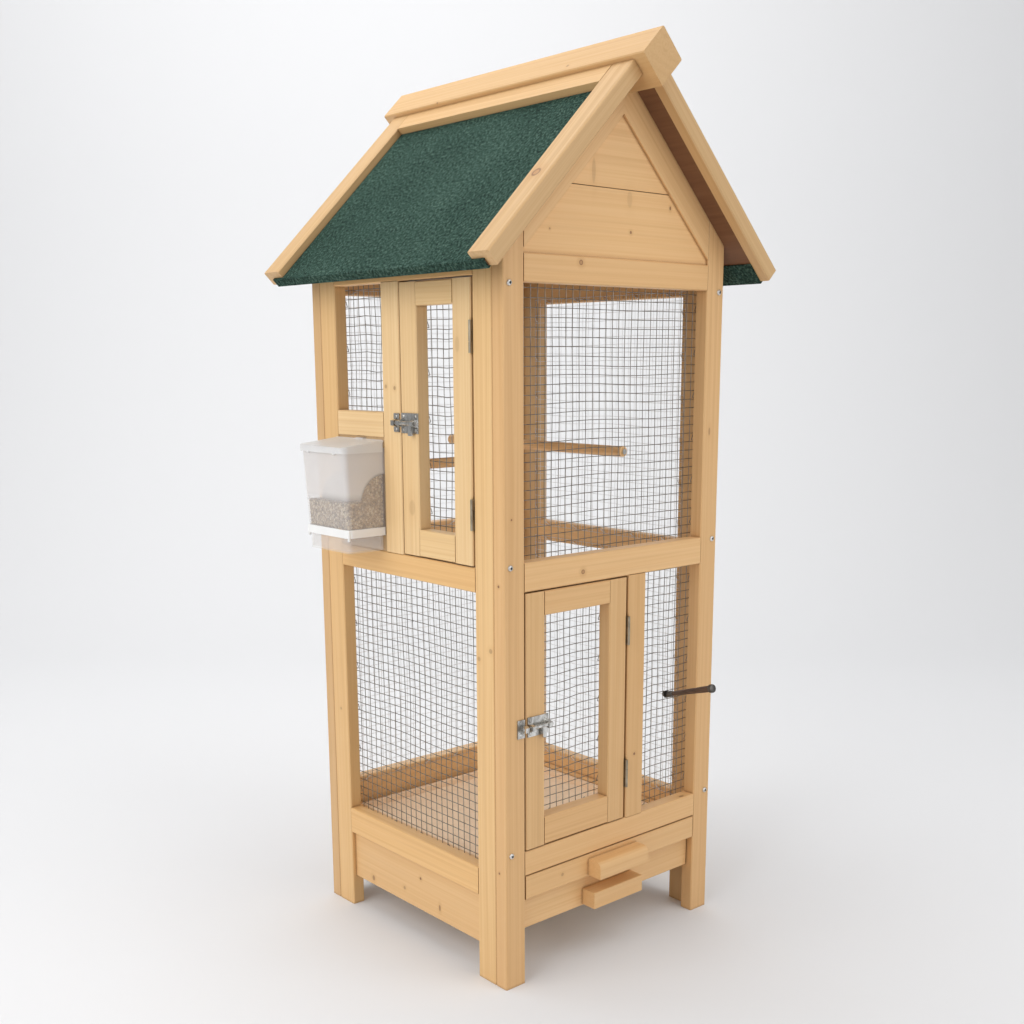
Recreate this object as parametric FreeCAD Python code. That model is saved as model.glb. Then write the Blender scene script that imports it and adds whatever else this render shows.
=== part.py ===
"""Tall gabled bird cage in pine.

Four frame panels are bolted together at the corners and closed with welded mesh. The cage has
a side door, a front door, two pull-out trays under the floor, a seed feeder outside the left
wall, perches, and a pitched roof of felted boards under a ridge beam.
Millimetres, +Z up. The gable over the trays faces -Y and the wall with the feeder faces -X.
"""
import FreeCAD, Part
import math
import os

Vector = FreeCAD.Vector

# Footprint of the four corner posts and the planed timber
body_w = 430.0
body_d = 444.0
front_stile_w = 36.0
front_frame_t = 22.0
side_stile_w = 39.0
side_frame_t = 21.0
ease = 1.5

# Levels above the floor and heights of the rails
front_sill_top = 199.0
front_sill_h = 36.0
back_sill_h = 49.0
side_sill_top = 167.0
right_sill_top = 187.0
side_sill_h = 41.5
lower_room_h = 370.0
front_mid_h = 40.0
side_mid_drop = 10.0
side_mid_h = 34.0
upper_room_h = 363.0
gable_rail_h = 36.0
gable_rail_drop = 26.0
right_head_drop = 16.0
base_bottom = 48.0
base_t = 14.0
base_recess = 7.0

# Roof: pitch, overhangs and layers
pitch = 45.0
eave_over = 63.0
front_over = 47.0
back_over = 31.0
deck_t = 9.5
deck_past_verge = 1.5
felt_t = 2.0
felt_fold = 35.0
verge_w = 40.0
verge_h = 23.0
verge_top_t = 11.0
verge_front_t = 16.0
ridge_side = 51.5
ridge_rise = 7.0
ridge_past_verge = 20.0
ridge_trim_w = 33.0
rafter_w = 39.0
gable_board_t = 12.0
gable_board_recess = 4.0
gable_board_h = 90.0
board_groove = 1.0

# Welded mesh: its cells stand for every fourth wire of the real half-inch mesh
net_cell = 50.8
net_wire = 1.4
net_lap = 6.5

# Upper door in the left wall
door_gap = 2.0
hinge_gap = 4.0
door_post_w = 42.0
door_bay_share = 0.58036
upper_stile_w = 38.5
upper_top_rail_h = 32.0
upper_low_rail_h = 38.0
eave_clear = 3.3

# Lower door in the front panel
mullion_w = 36.0
mullion_x = 41.0
lower_stile_w = 35.0
lower_top_rail_h = 34.0
lower_low_rail_h = 41.0

# Butt hinges
hinge_h = 42.0
hinge_out = 2.4
hinge_knuckle_r = 2.2
hinge_pin_r = 1.2
hinge_fit = 0.05
hinge_slit = 0.5
hinge_leaf_w = 16.0
hinge_leaf_t = 1.1
upper_hinge_low_in = 70.0
upper_hinge_high_in = 75.0
lower_hinge_low_in = 69.0
lower_hinge_high_in = 79.0

# Barrel bolts
upper_latch_drop = 2.5
lower_latch_drop = 4.0
latch_plate_l = 38.0
latch_plate_h = 28.0
latch_plate_t = 1.5
latch_setback = 2.0
latch_guide_l = 6.0
latch_guide_wall = 2.0
latch_rod_r = 3.0
latch_rod_l = 42.0
latch_rod_lift = 1.6
latch_fit = 0.1
latch_tip_in = 1.0
latch_throw = 12.0
latch_tab_w = 7.0
latch_tab_t = 3.0
latch_tab_drop = 17.0
latch_tab_gap = 5.0
keeper_l = 13.0
keeper_h = 26.0
keeper_gap = 1.5
keeper_loop_l = 7.0
keeper_fit = 0.4

# Pull-out trays
tray_gap = 1.5
tray_front_t = 15.0
upper_tray_h = 35.0
upper_floor_lift = 16.0
lower_tray_h = 45.0
lower_floor_lift = 1.5
lower_tray_drop = 5.0
lower_tray_recess = 12.0
tray_wall_t = 8.0
tray_floor_t = 6.0
tray_wall_drop = 4.0
tray_back_gap = 10.0
handle_l = 102.0
handle_h = 25.0
handle_reach = 26.0
handle_centre_x = -4.0
handle_lift = 3.0
handle_round = 9.0
runner_t = 10.0
runner_lap = 11.0
runner_side_h = 17.0
runner_gap = 0.3
runner_side_gap = 1.0

# Seed feeder outside the left wall
feeder_bay_h = 165.5
feeder_rail_h = 37.0
feeder_board_t = 6.0
feeder_board_recess = 2.0
feeder_side_gap = 2.5
feeder_far_gap_top = 2.0
feeder_far_gap_low = 6.0
feeder_reach_upper = 71.0
feeder_reach_lower = 66.0
feeder_wall = 2.0
feeder_round = 8.0
feeder_floor_lift = 36.0
feeder_top_drop = 14.0
band_h = 12.0
band_t = 2.0
band_lap = 1.0
cup_lift = 1.5
cup_fit = 0.3
cup_lap = 4.0
lid_t = 2.5
lid_skirt = 6.0
lid_over = 1.0
lid_rise = 8.0
lid_bead_r = 1.7
lid_fit = 0.5
lid_ear_w = 20.0
lid_ear_wall = 1.2
lid_ear_fit = 0.08
baffle_r = 40.0
baffle_t = 1.5
seed_level = 38.0
seed_gap = 0.5
slot_in = 15.0
slot_h = 48.0
slot_lift = 5.0

# Perches
perch_r = 7.5
perch_high_x = 32.0
perch_high_rise = 136.0
perch_high_gap = 0.3
perch_low_rise = 126.0
perch_low_reach = 198.0
perch_socket = 10.0
perch_fit = 0.2
perch_screw_r = 1.8
perch_screw_in = 14.0
washer_r = 4.0
washer_t = 1.2

# Perch clamped to the front mesh outside
out_perch_in = 43.0
out_perch_rise = 167.0
out_perch_l = 88.0
out_perch_tilt = 17.0
out_perch_root_r = 3.6
out_perch_tip_r = 5.2
out_perch_facets = 16
hex_sides = 6
out_root_cap_r = 4.8
out_root_cap_l = 12.0
out_tip_cap_r = 6.5
out_tip_cap_l = 7.0
out_washer_r = 6.0
out_bolt_r = 2.0
out_nut_r = 5.0
out_nut_h = 5.0

# Heads of the corner bolts
bolt_head_w = 8.4
bolt_head_h = 2.6
bolt_over_sill = 1.0
bolt_under_mid = 4.0
bolt_under_gable = 2.0

# Overrun of cutting tools past the faces they cut
overrun = 5.0

# Worked out from the values above
half_w = body_w / 2
half_d = body_d / 2
inner_x = half_w - side_frame_t
inner_y = half_d - front_frame_t
front_open_x = half_w - front_stile_w
side_open_y = inner_y - side_stile_w
front_mid_low = front_sill_top + lower_room_h
front_mid_top = front_mid_low + front_mid_h
side_mid_top = front_mid_top - side_mid_drop
gable_rail_low = front_mid_top + upper_room_h
gable_rail_top = gable_rail_low + gable_rail_h
front_sill_low = front_sill_top - front_sill_h
side_mid_low = side_mid_top - side_mid_h
side_sill_low = side_sill_top - side_sill_h
sin_p = math.sin(math.radians(pitch))
cos_p = math.cos(math.radians(pitch))
tan_p = math.tan(math.radians(pitch))
verge_run = half_w + eave_over
deck_run = verge_run + deck_past_verge * cos_p
deck_top = verge_top_t + felt_t
deck_low = deck_top + deck_t
verge_front_y = -half_d - front_over
verge_back_y = half_d + back_over
roof_apex = gable_rail_top + gable_rail_drop + half_w * tan_p + deck_low / cos_p
ridge_top = roof_apex + ridge_rise / cos_p
ridge_low = ridge_top - 2 * ridge_side * sin_p
eave_low = roof_apex - (deck_run + felt_t * cos_p) * tan_p - (deck_low + felt_t) * cos_p
left_head = eave_low - eave_clear + door_gap
right_head = left_head - right_head_drop

nodes = {}


def face_of(points):
    """Flat face bounded by a closed polygon."""
    return Part.Face(Part.makePolygon(points + points[:1]))


def prism_xz(points, y0, y1):
    """Polygon in the XZ plane drawn out from y0 to y1."""
    return face_of([Vector(x, y0, z) for x, z in points]).extrude(Vector(0, y1 - y0, 0))


def prism_yz(points, x0, x1):
    """Polygon in the YZ plane drawn out from x0 to x1."""
    return face_of([Vector(x0, y, z) for y, z in points]).extrude(Vector(x1 - x0, 0, 0))


def prism_xy(points, z0, z1):
    """Polygon in the XY plane drawn out from z0 to z1."""
    return face_of([Vector(x, y, z0) for x, y in points]).extrude(Vector(0, 0, z1 - z0))


def block(x0, x1, y0, y1, z0, z1):
    """Plain rectangular block between two corners."""
    return Part.makeBox(x1 - x0, y1 - y0, z1 - z0, Vector(x0, y0, z0))


def eased(a0, a1, b0, b1):
    """Rectangular timber section with its four corners eased."""
    return [(a0 + ease, b0), (a1 - ease, b0), (a1, b0 + ease), (a1, b1 - ease),
            (a1 - ease, b1), (a0 + ease, b1), (a0, b1 - ease), (a0, b0 + ease)]


def board_x(x0, x1, y0, y1, z0, z1):
    """Planed board that runs along X."""
    return prism_yz(eased(y0, y1, z0, z1), x0, x1)


def board_y(x0, x1, y0, y1, z0, z1):
    """Planed board that runs along Y."""
    return prism_xz(eased(x0, x1, z0, z1), y0, y1)


def board_z(x0, x1, y0, y1, z0, z1):
    """Planed board that stands upright."""
    return prism_xy(eased(x0, x1, y0, y1), z0, z1)


def rod(start, axis, radius, length):
    """Round bar from a point along an axis."""
    return Part.makeCylinder(radius, length, start, axis)


def tube(start, axis, outer, inner, length):
    """Round tube from a point along an axis."""
    return rod(start, axis, outer, length).cut(rod(start, axis, inner, length))


def whittled(start, end, start_r, end_r, sides):
    """Many-sided bar in the YZ plane between two points, tapered from one radius to the other."""
    across = Vector(1, 0, 0)
    upward = across.cross((end - start).normalize())
    turns = [2 * math.pi * k / sides for k in range(sides)]
    spokes = [across * math.cos(a) + upward * math.sin(a) for a in turns]
    low = [start + spoke * start_r for spoke in spokes]
    high = [end + spoke * end_r for spoke in spokes]
    faces = [face_of(low), face_of(high)]
    for k in range(sides):
        after = (k + 1) % sides
        faces.append(face_of([low[k], low[after], high[after], high[k]]))
    return Part.makeSolid(Part.makeShell(faces))


def group(solids):
    """Separate solids that share one node."""
    return Part.makeCompound(solids)


def placed(shape, angle, origin):
    """Shape turned about Z and then moved so that its own origin lies at the given point."""
    return shape.rotated(Vector(0, 0, 0), Vector(0, 0, 1), angle).translated(origin)


def slope_xz(side, run, depth):
    """Point of a roof slope: run out from the ridge on the top plane, then depth square to it."""
    return (side * (run - depth * sin_p), roof_apex - run * tan_p - depth * cos_p)


def plane_z(x, depth):
    """Height at X of the plane that lies at a depth under the roof's top plane."""
    return roof_apex - abs(x) * tan_p - depth / cos_p


def ridge_xz(side, depth):
    """Point where the plane at a depth meets the ridge beam's lower face."""
    x = (roof_apex - depth / cos_p - ridge_low) / (2 * tan_p)
    return (side * x, plane_z(x, depth))


def roof_void():
    """Everything above the underside of the roof boards."""
    far = verge_run + overrun
    points = [(-far, plane_z(far, deck_low)), (0, plane_z(0, deck_low)), (far, plane_z(far, deck_low)),
              (far, ridge_top + far), (-far, ridge_top + far)]
    return prism_xz(points, -body_d, body_d)


def ridge_void(side):
    """Everything on the ridge side of one lower face of the ridge beam."""
    far = ridge_top
    points = [(-side * far, ridge_low - far * tan_p), (side * far, ridge_low + far * tan_p),
              (-side * far, ridge_low + far * tan_p)]
    return prism_xz(points, -body_d, body_d)


def net(at, u0, u1, v0, v1, thickness):
    """Welded mesh panel as one flat plate with square gaps, its wires spread evenly."""
    columns = max(1, round((u1 - u0) / net_cell))
    rows = max(1, round((v1 - v0) / net_cell))
    du = (u1 - u0) / columns
    dv = (v1 - v0) / rows
    half = net_wire / 2

    def ring(a0, a1, b0, b1):
        """Closed rectangle, run round from its first corner along u."""
        return Part.makePolygon([at(a0, b0), at(a1, b0), at(a1, b1), at(a0, b1), at(a0, b0)])

    rings = [ring(u0 - half, u1 + half, v0 - half, v1 + half)]
    for i in range(columns):
        for j in range(rows):
            rings.append(ring(u0 + (i + 1) * du - half, u0 + i * du + half,
                              v0 + j * dv + half, v0 + (j + 1) * dv - half))
    return Part.Face(rings).extrude(thickness)


def net_xz(side, x0, x1, z0, z1):
    """Mesh on the inner face of the front (side -1) or back (side 1) panel, lapped past its opening."""
    y = side * inner_y
    return net(lambda u, v: Vector(u, y, v), x0 - net_lap, x1 + net_lap, z0 - net_lap, z1 + net_lap,
               Vector(0, -side * net_wire, 0))


def net_yz(side, y0, y1, z0, z1):
    """Mesh on the inner face of the left (side -1) or right (side 1) panel, lapped past its opening."""
    x = side * inner_x
    return net(lambda u, v: Vector(x, u, v), y0 - net_lap, y1 + net_lap, z0 - net_lap, z1 + net_lap,
               Vector(-side * net_wire, 0, 0))


def rounded(shape, radius, wanted):
    """Shape with a fillet on the edges whose two ends both meet a test."""
    edges = [e for e in shape.Edges if all(wanted(v.Point) for v in e.Vertexes)]
    return shape.makeFillet(radius, edges)


def build_bolts():
    """Hexagon heads of the corner bolts, which run through the gable stiles into the side stiles."""
    x = half_w - side_frame_t / 2
    levels = (front_sill_top + bolt_over_sill, front_mid_top - bolt_under_mid,
              gable_rail_low - bolt_under_gable)
    corner_r = bolt_head_w / 2 / math.cos(math.pi / hex_sides)
    turns = [2 * math.pi * k / hex_sides for k in range(hex_sides)]
    outline = [(corner_r * math.cos(a), corner_r * math.sin(a)) for a in turns]
    solids = []
    for sx in (-1, 1):
        for sy in (-1, 1):
            for z in levels:
                points = [(sx * x + u, z + v) for u, v in outline]
                solids.append(prism_xz(points, sy * half_d, sy * (half_d + bolt_head_h)))
    nodes["frame_bolts"] = group(solids)


def build_front_and_back():
    """Stiles and rails of the two gable panels, and the front mullion."""
    sky = roof_void()
    for name, side in (("front", -1), ("back", 1)):
        y0, y1 = sorted((side * half_d, side * inner_y))
        stiles = []
        for sx in (-1, 1):
            x0, x1 = sorted((sx * half_w, sx * front_open_x))
            stiles.append(board_z(x0, x1, y0, y1, 0, roof_apex).cut(sky))
        nodes[name + "_stiles"] = group(stiles)
        sill_h = front_sill_h if side < 0 else back_sill_h
        spans = ((gable_rail_low, gable_rail_top), (front_mid_low, front_mid_top),
                 (front_sill_top - sill_h, front_sill_top))
        nodes[name + "_rails"] = group([board_x(-front_open_x, front_open_x, y0, y1, z0, z1)
                                        for z0, z1 in spans])
    nodes["front_mullion"] = board_z(mullion_x - mullion_w / 2, mullion_x + mullion_w / 2,
                                     -half_d, -inner_y, front_sill_top, front_mid_low)


def build_side_panels():
    """Stiles and rails of the left and right panels, and the base boards round the trays."""
    sky = roof_void()
    walls = (("left", -1, left_head, side_sill_top), ("right", 1, right_head, right_sill_top))
    for name, side, head, sill_top in walls:
        x0, x1 = sorted((side * half_w, side * inner_x))
        stiles = []
        for sy in (-1, 1):
            y0, y1 = sorted((sy * inner_y, sy * side_open_y))
            stiles.append(board_z(x0, x1, y0, y1, 0, roof_apex).cut(sky))
        nodes[name + "_stiles"] = group(stiles)
        rails = [board_y(x0, x1, -side_open_y, side_open_y, head, roof_apex).cut(sky),
                 board_y(x0, x1, -side_open_y, side_open_y, side_mid_low, side_mid_top),
                 board_y(x0, x1, -side_open_y, side_open_y, side_sill_low, sill_top)]
        nodes[name + "_rails"] = group(rails)
    boards = []
    for side in (-1, 1):
        x0, x1 = sorted((side * (half_w - base_recess), side * (half_w - base_recess - base_t)))
        boards.append(board_y(x0, x1, -side_open_y, side_open_y, base_bottom, side_sill_low))
    y0 = half_d - base_recess - base_t
    boards.append(board_x(-front_open_x, front_open_x, y0, half_d - base_recess,
                          base_bottom, front_sill_top - back_sill_h))
    nodes["base_boards"] = group(boards)


# Openings of the left wall
post_y0 = -side_open_y + door_bay_share * (2 * side_open_y - door_post_w)
post_y1 = post_y0 + door_post_w
upper_door_y0 = -side_open_y + hinge_gap
upper_door_y1 = post_y0 - door_gap
upper_door_z0 = side_mid_top + door_gap
upper_door_z1 = left_head - door_gap
feeder_rail_low = side_mid_top + feeder_bay_h
feeder_rail_top = feeder_rail_low + feeder_rail_h
feeder_board_x = -half_w + feeder_board_recess

# Openings of the front panel
lower_door_x0 = -front_open_x + door_gap
lower_door_x1 = mullion_x - mullion_w / 2 - hinge_gap
lower_door_z0 = front_sill_top + door_gap
lower_door_z1 = front_mid_low - door_gap

# Places of the inside perches
perch_low_y = (post_y0 + post_y1) / 2
perch_low_z = side_mid_top + perch_low_rise
perch_high_z = front_mid_top + perch_high_rise


def build_left_infill():
    """Door post and feeder rail between the left panel's rails."""
    socket = rod(Vector(-inner_x - perch_socket, perch_low_y, perch_low_z), Vector(1, 0, 0),
                 perch_r + perch_fit, perch_socket + overrun)
    post = board_z(-half_w, -inner_x, post_y0, post_y1, side_mid_top, left_head)
    nodes["left_door_post"] = post.cut(socket)
    nodes["feeder_rail"] = board_y(-half_w, -inner_x, post_y1, side_open_y,
                                   feeder_rail_low, feeder_rail_top)


def perch_screw_line(side):
    """Start outside the mesh and inward direction of the screw at one end of the high perch."""
    y = side * (inner_y + washer_t)
    return Vector(perch_high_x, y, perch_high_z), Vector(0, -side, 0)


def screw_clearance(side):
    """Way through the mesh for a high perch screw."""
    start, run = perch_screw_line(side)
    return rod(start, run, perch_screw_r + perch_fit, perch_screw_in)


def build_meshes():
    """Mesh of all fixed windows."""
    upper = net_xz(-1, -front_open_x, front_open_x, front_mid_top, gable_rail_low)
    narrow = net_xz(-1, mullion_x + mullion_w / 2, front_open_x, front_sill_top, front_mid_low)
    clamp_way = rod(Vector(out_perch_x, -half_d, out_perch_z), Vector(0, 1, 0),
                    out_bolt_r + perch_fit, front_frame_t + overrun)
    nodes["front_mesh"] = group([upper.cut(screw_clearance(-1)), narrow.cut(clamp_way)])
    upper = net_xz(1, -front_open_x, front_open_x, front_mid_top, gable_rail_low)
    lower = net_xz(1, -front_open_x, front_open_x, front_sill_top, front_mid_low)
    nodes["back_mesh"] = group([upper.cut(screw_clearance(1)), lower])
    nodes["left_mesh"] = group([
        net_yz(-1, post_y1, side_open_y, feeder_rail_top, left_head),
        net_yz(-1, -side_open_y, side_open_y, side_sill_top, side_mid_low)])
    nodes["right_mesh"] = group([
        net_yz(1, -side_open_y, side_open_y, side_mid_top, right_head),
        net_yz(1, -side_open_y, side_open_y, right_sill_top, side_mid_low)])


def build_gables():
    """Rafters under the roof slopes and the boards that fill the gables between them."""
    rafters = []
    rafter_low = deck_low + rafter_w
    beam = ridge_shape()
    for side in (-1, 1):
        y0, y1 = sorted((side * half_d, side * inner_y))
        for sx in (-1, 1):
            end = sx * front_open_x
            points = [(0, plane_z(0, deck_low)), (end, plane_z(end, deck_low)),
                      (end, plane_z(end, rafter_low)), (0, plane_z(0, rafter_low))]
            rafters.append(prism_xz(points, y0, y1).cut(beam))
        face = side * (half_d - gable_board_recess)
        b0, b1 = sorted((face, face - side * gable_board_t))
        joint = gable_rail_top + gable_board_h
        half_low = (plane_z(0, rafter_low) - gable_rail_top) / tan_p
        half_joint = (plane_z(0, rafter_low) - joint) / tan_p
        half_over = half_joint - board_groove / tan_p
        lower = [(-half_low, gable_rail_top), (half_low, gable_rail_top),
                 (half_joint, joint), (-half_joint, joint)]
        upper = [(-half_over, joint + board_groove), (half_over, joint + board_groove),
                 (0, plane_z(0, rafter_low))]
        name = "gable_boards_front" if side < 0 else "gable_boards_back"
        clip = block(-front_open_x, front_open_x, b0, b1, gable_rail_top, ridge_top)
        nodes[name] = group([prism_xz(lower, b0, b1).common(clip), prism_xz(upper, b0, b1).common(clip)])
    nodes["gable_rafters"] = group(rafters)


def ridge_shape():
    """Square ridge beam turned so that its upper faces lie parallel to the slopes."""
    x, z = ridge_side * cos_p, ridge_top - ridge_side * sin_p
    cut_x, cut_z = ease * cos_p, ease * sin_p
    points = [(-cut_x, ridge_top - cut_z), (-x + cut_x, z + cut_z), (-x + cut_x, z - cut_z), (0, ridge_low),
              (x - cut_x, z - cut_z), (x - cut_x, z + cut_z), (cut_x, ridge_top - cut_z)]
    return prism_xz(points, verge_front_y - ridge_past_verge, verge_back_y + ridge_past_verge)


def deck_points(side, depth0, depth1, end_run):
    """Outline of a flat layer of the roof, from the ridge beam to a square end at the eave."""
    return [ridge_xz(side, depth0), slope_xz(side, end_run, depth0),
            slope_xz(side, end_run, depth1), ridge_xz(side, depth1)]


def felt_points(side):
    """Outline of the felt, which lies on the deck and folds round its eave."""
    end = deck_run + felt_t * cos_p
    fold = deck_run - felt_fold * cos_p
    return [ridge_xz(side, verge_top_t), slope_xz(side, end, verge_top_t),
            slope_xz(side, end, deck_low + felt_t), slope_xz(side, fold, deck_low + felt_t),
            slope_xz(side, fold, deck_low), slope_xz(side, deck_run, deck_low),
            slope_xz(side, deck_run, deck_top), ridge_xz(side, deck_top)]


def verge_board(side, y_face, inward):
    """Rebated verge board: a top flange over the felt and a front flange over the deck's edge."""
    section = [(0, ease), (0, verge_h - ease), (ease, verge_h), (verge_front_t, verge_h),
               (verge_front_t, verge_top_t), (verge_w, verge_top_t), (verge_w, ease),
               (verge_w - ease, 0), (ease, 0)]
    points = []
    for across, depth in section:
        x, z = slope_xz(side, verge_run, depth)
        points.append(Vector(x, y_face + inward * across, z))
    length = (verge_run + verge_h) / cos_p
    board = face_of(points).extrude(Vector(-side * cos_p, 0, sin_p) * length)
    return board.cut(ridge_void(side))


def build_roof():
    """Decks, felts, verge boards, ridge beam and ridge trims."""
    deck_y0 = verge_front_y + verge_front_t
    deck_y1 = verge_back_y - verge_front_t
    decks = []
    verges = []
    trims = []
    for side in (-1, 1):
        decks.append(prism_xz(deck_points(side, deck_top, deck_low, deck_run), deck_y0, deck_y1))
        name = "roof_felt_left" if side < 0 else "roof_felt_right"
        nodes[name] = prism_xz(felt_points(side), deck_y0, deck_y1)
        verges.append(verge_board(side, verge_front_y, 1))
        verges.append(verge_board(side, verge_back_y, -1))
        trim_run = abs(ridge_xz(side, 0)[0]) + ridge_trim_w * cos_p
        trims.append(prism_xz(deck_points(side, 0, verge_top_t, trim_run),
                              verge_front_y + verge_w, verge_back_y - verge_w))
    nodes["roof_decks"] = group(decks)
    nodes["verge_boards"] = group(verges)
    nodes["ridge_trims"] = group(trims)
    nodes["ridge_beam"] = ridge_shape()


def hinge_parts(level):
    """Frame leaf with its riveted pin, and door leaf, about the middle of a gap with the door towards +X."""
    z0 = level - hinge_h / 2
    third = hinge_h / 3
    up = Vector(0, 0, 1)
    axis = Vector(0, hinge_out, z0)
    edge = hinge_gap / 2

    def knuckle(x0, x1, start, height):
        """Barrel section with the tab that joins it to its leaf."""
        ring = rod(axis + up * start, up, hinge_knuckle_r, height)
        tab = block(x0, x1, -ease, hinge_out, z0 + start, z0 + start + height)
        return ring.fuse(tab)

    frame = block(-edge, -edge + hinge_leaf_t, -hinge_leaf_w, 0, z0, z0 + hinge_h)
    for start in (0, 2 * third):
        frame = frame.fuse(knuckle(-edge, -edge + hinge_leaf_t, start, third))
    frame = frame.fuse(rod(axis, up, hinge_pin_r, hinge_h)).removeSplitter()
    door = block(edge - hinge_leaf_t, edge, -hinge_leaf_w, 0, z0, z0 + hinge_h)
    door = door.fuse(knuckle(edge - hinge_leaf_t, edge, third + hinge_slit, third - 2 * hinge_slit))
    return frame, door.cut(rod(axis, up, hinge_pin_r + hinge_fit, hinge_h)).removeSplitter()


def latch_parts():
    """Plate with guides, sliding rod and keeper about the door's edge, with the keeper towards +X."""
    along = Vector(1, 0, 0)
    lift = latch_plate_t + latch_rod_r + latch_rod_lift
    plate_end = -latch_setback
    plate_start = plate_end - latch_plate_l
    half_h = latch_plate_h / 2

    def guide(start, length, bore):
        """Strap bent over the rod, with its feet on the plate."""
        outer = bore + latch_guide_wall
        flat = outer - latch_guide_wall
        points = [(0, -outer), (lift, -outer), (lift + outer, -flat),
                  (lift + outer, flat), (lift, outer), (0, outer)]
        return prism_yz(points, start, start + length)

    def bored(shape, start, length, bore):
        return shape.cut(rod(Vector(start, lift, 0), along, bore, length))

    bore = latch_rod_r + latch_fit
    plate = block(plate_start, plate_end, 0, latch_plate_t, -half_h, half_h)
    for start in (plate_start, plate_end - latch_guide_l):
        plate = plate.fuse(guide(start, latch_guide_l, bore))
    plate = bored(plate, plate_start, latch_plate_l, bore)

    tip = -latch_tip_in
    bar = rod(Vector(tip - latch_rod_l, lift, 0), along, latch_rod_r, latch_rod_l)
    tab_x = plate_end - latch_guide_l - latch_throw - latch_tab_gap
    tab = block(tab_x - latch_tab_w, tab_x, lift - latch_tab_t / 2, lift + latch_tab_t / 2,
                -latch_tab_drop, 0)
    bar = bar.fuse(tab)

    keeper_start = door_gap + keeper_gap
    keeper_bore = latch_rod_r + keeper_fit
    keeper = block(keeper_start, keeper_start + keeper_l, 0, latch_plate_t, -keeper_h / 2, keeper_h / 2)
    keeper = keeper.fuse(guide(keeper_start, keeper_loop_l, keeper_bore))
    return plate, bar, bored(keeper, keeper_start, keeper_l, keeper_bore)


def build_hardware():
    """Hinges and barrel bolts of both doors."""
    frame_leaves = []
    keepers = []
    upper_levels = (upper_door_z0 + upper_hinge_low_in, upper_door_z1 - upper_hinge_high_in)
    lower_levels = (lower_door_z0 + lower_hinge_low_in, lower_door_z1 - lower_hinge_high_in)
    upper_gap = Vector(-half_w, upper_door_y0 - hinge_gap / 2, 0)
    lower_gap = Vector(lower_door_x1 + hinge_gap / 2, -half_d, 0)
    upper_edge = Vector(-half_w, upper_door_y1, (upper_door_z0 + upper_door_z1) / 2 - upper_latch_drop)
    lower_edge = Vector(lower_door_x0, -half_d, (lower_door_z0 + lower_door_z1) / 2 - lower_latch_drop)
    for name, turn, gap, levels, edge in (("upper", 90, upper_gap, upper_levels, upper_edge),
                                          ("lower", 180, lower_gap, lower_levels, lower_edge)):
        door_leaves = []
        for level in levels:
            frame, door = hinge_parts(level)
            frame_leaves.append(placed(frame, turn, gap))
            door_leaves.append(placed(door, turn, gap))
        nodes[name + "_door_hinge_leaves"] = group(door_leaves)
        plate, bar, keeper = latch_parts()
        nodes[name + "_bolt_plate"] = placed(plate, turn, edge)
        nodes[name + "_bolt_rod"] = placed(bar, turn, edge)
        keepers.append(placed(keeper, turn, edge))
    nodes["hinge_frame_leaves"] = group(frame_leaves)
    nodes["bolt_keepers"] = group(keepers)


def build_doors():
    """Framed doors with mesh on their inner faces."""
    window_y0 = upper_door_y0 + upper_stile_w
    window_y1 = upper_door_y1 - upper_stile_w
    window_z0 = upper_door_z0 + upper_low_rail_h
    window_z1 = upper_door_z1 - upper_top_rail_h
    nodes["upper_door_stiles"] = group([
        board_z(-half_w, -inner_x, upper_door_y0, window_y0, upper_door_z0, upper_door_z1),
        board_z(-half_w, -inner_x, window_y1, upper_door_y1, upper_door_z0, upper_door_z1)])
    nodes["upper_door_rails"] = group([
        board_y(-half_w, -inner_x, window_y0, window_y1, upper_door_z0, window_z0),
        board_y(-half_w, -inner_x, window_y0, window_y1, window_z1, upper_door_z1)])
    nodes["upper_door_mesh"] = net_yz(-1, window_y0, window_y1, window_z0, window_z1)

    window_x0 = lower_door_x0 + lower_stile_w
    window_x1 = lower_door_x1 - lower_stile_w
    window_z0 = lower_door_z0 + lower_low_rail_h
    window_z1 = lower_door_z1 - lower_top_rail_h
    nodes["lower_door_stiles"] = group([
        board_z(lower_door_x0, window_x0, -half_d, -inner_y, lower_door_z0, lower_door_z1),
        board_z(window_x1, lower_door_x1, -half_d, -inner_y, lower_door_z0, lower_door_z1)])
    nodes["lower_door_rails"] = group([
        board_x(window_x0, window_x1, -half_d, -inner_y, lower_door_z0, window_z0),
        board_x(window_x0, window_x1, -half_d, -inner_y, window_z1, lower_door_z1)])
    nodes["lower_door_mesh"] = net_xz(-1, window_x0, window_x1, window_z0, window_z1)


def build_tray(name, front_top, front_h, face_y, floor_lift, grip_round):
    """Tray with a front board, an open pan and a grip block, and where its runners meet it."""
    reach_x = front_open_x - tray_gap
    front_low = front_top - front_h
    back_of_front = face_y + tray_front_t
    nodes[name + "_front"] = board_x(-reach_x, reach_x, face_y, back_of_front, front_low, front_top)
    pan_low = front_low + floor_lift
    pan_top = front_top - tray_wall_drop
    pan_back = inner_y - tray_back_gap
    pan = block(-reach_x, reach_x, back_of_front, pan_back, pan_low, pan_top)
    hollow = block(-reach_x + tray_wall_t, reach_x - tray_wall_t, back_of_front + tray_wall_t,
                   pan_back - tray_wall_t, pan_low + tray_floor_t, pan_top + overrun)
    nodes[name + "_pan"] = pan.cut(hollow)
    x0 = handle_centre_x - handle_l / 2
    z0 = front_low + handle_lift
    y0 = face_y - handle_reach
    grip = block(x0, x0 + handle_l, y0, face_y, z0, z0 + handle_h)
    nodes[name + "_handle"] = rounded(grip, grip_round, lambda p: p.y < y0 + ease and p.z > z0 + ease)
    return pan_low, back_of_front + runner_side_gap


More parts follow.
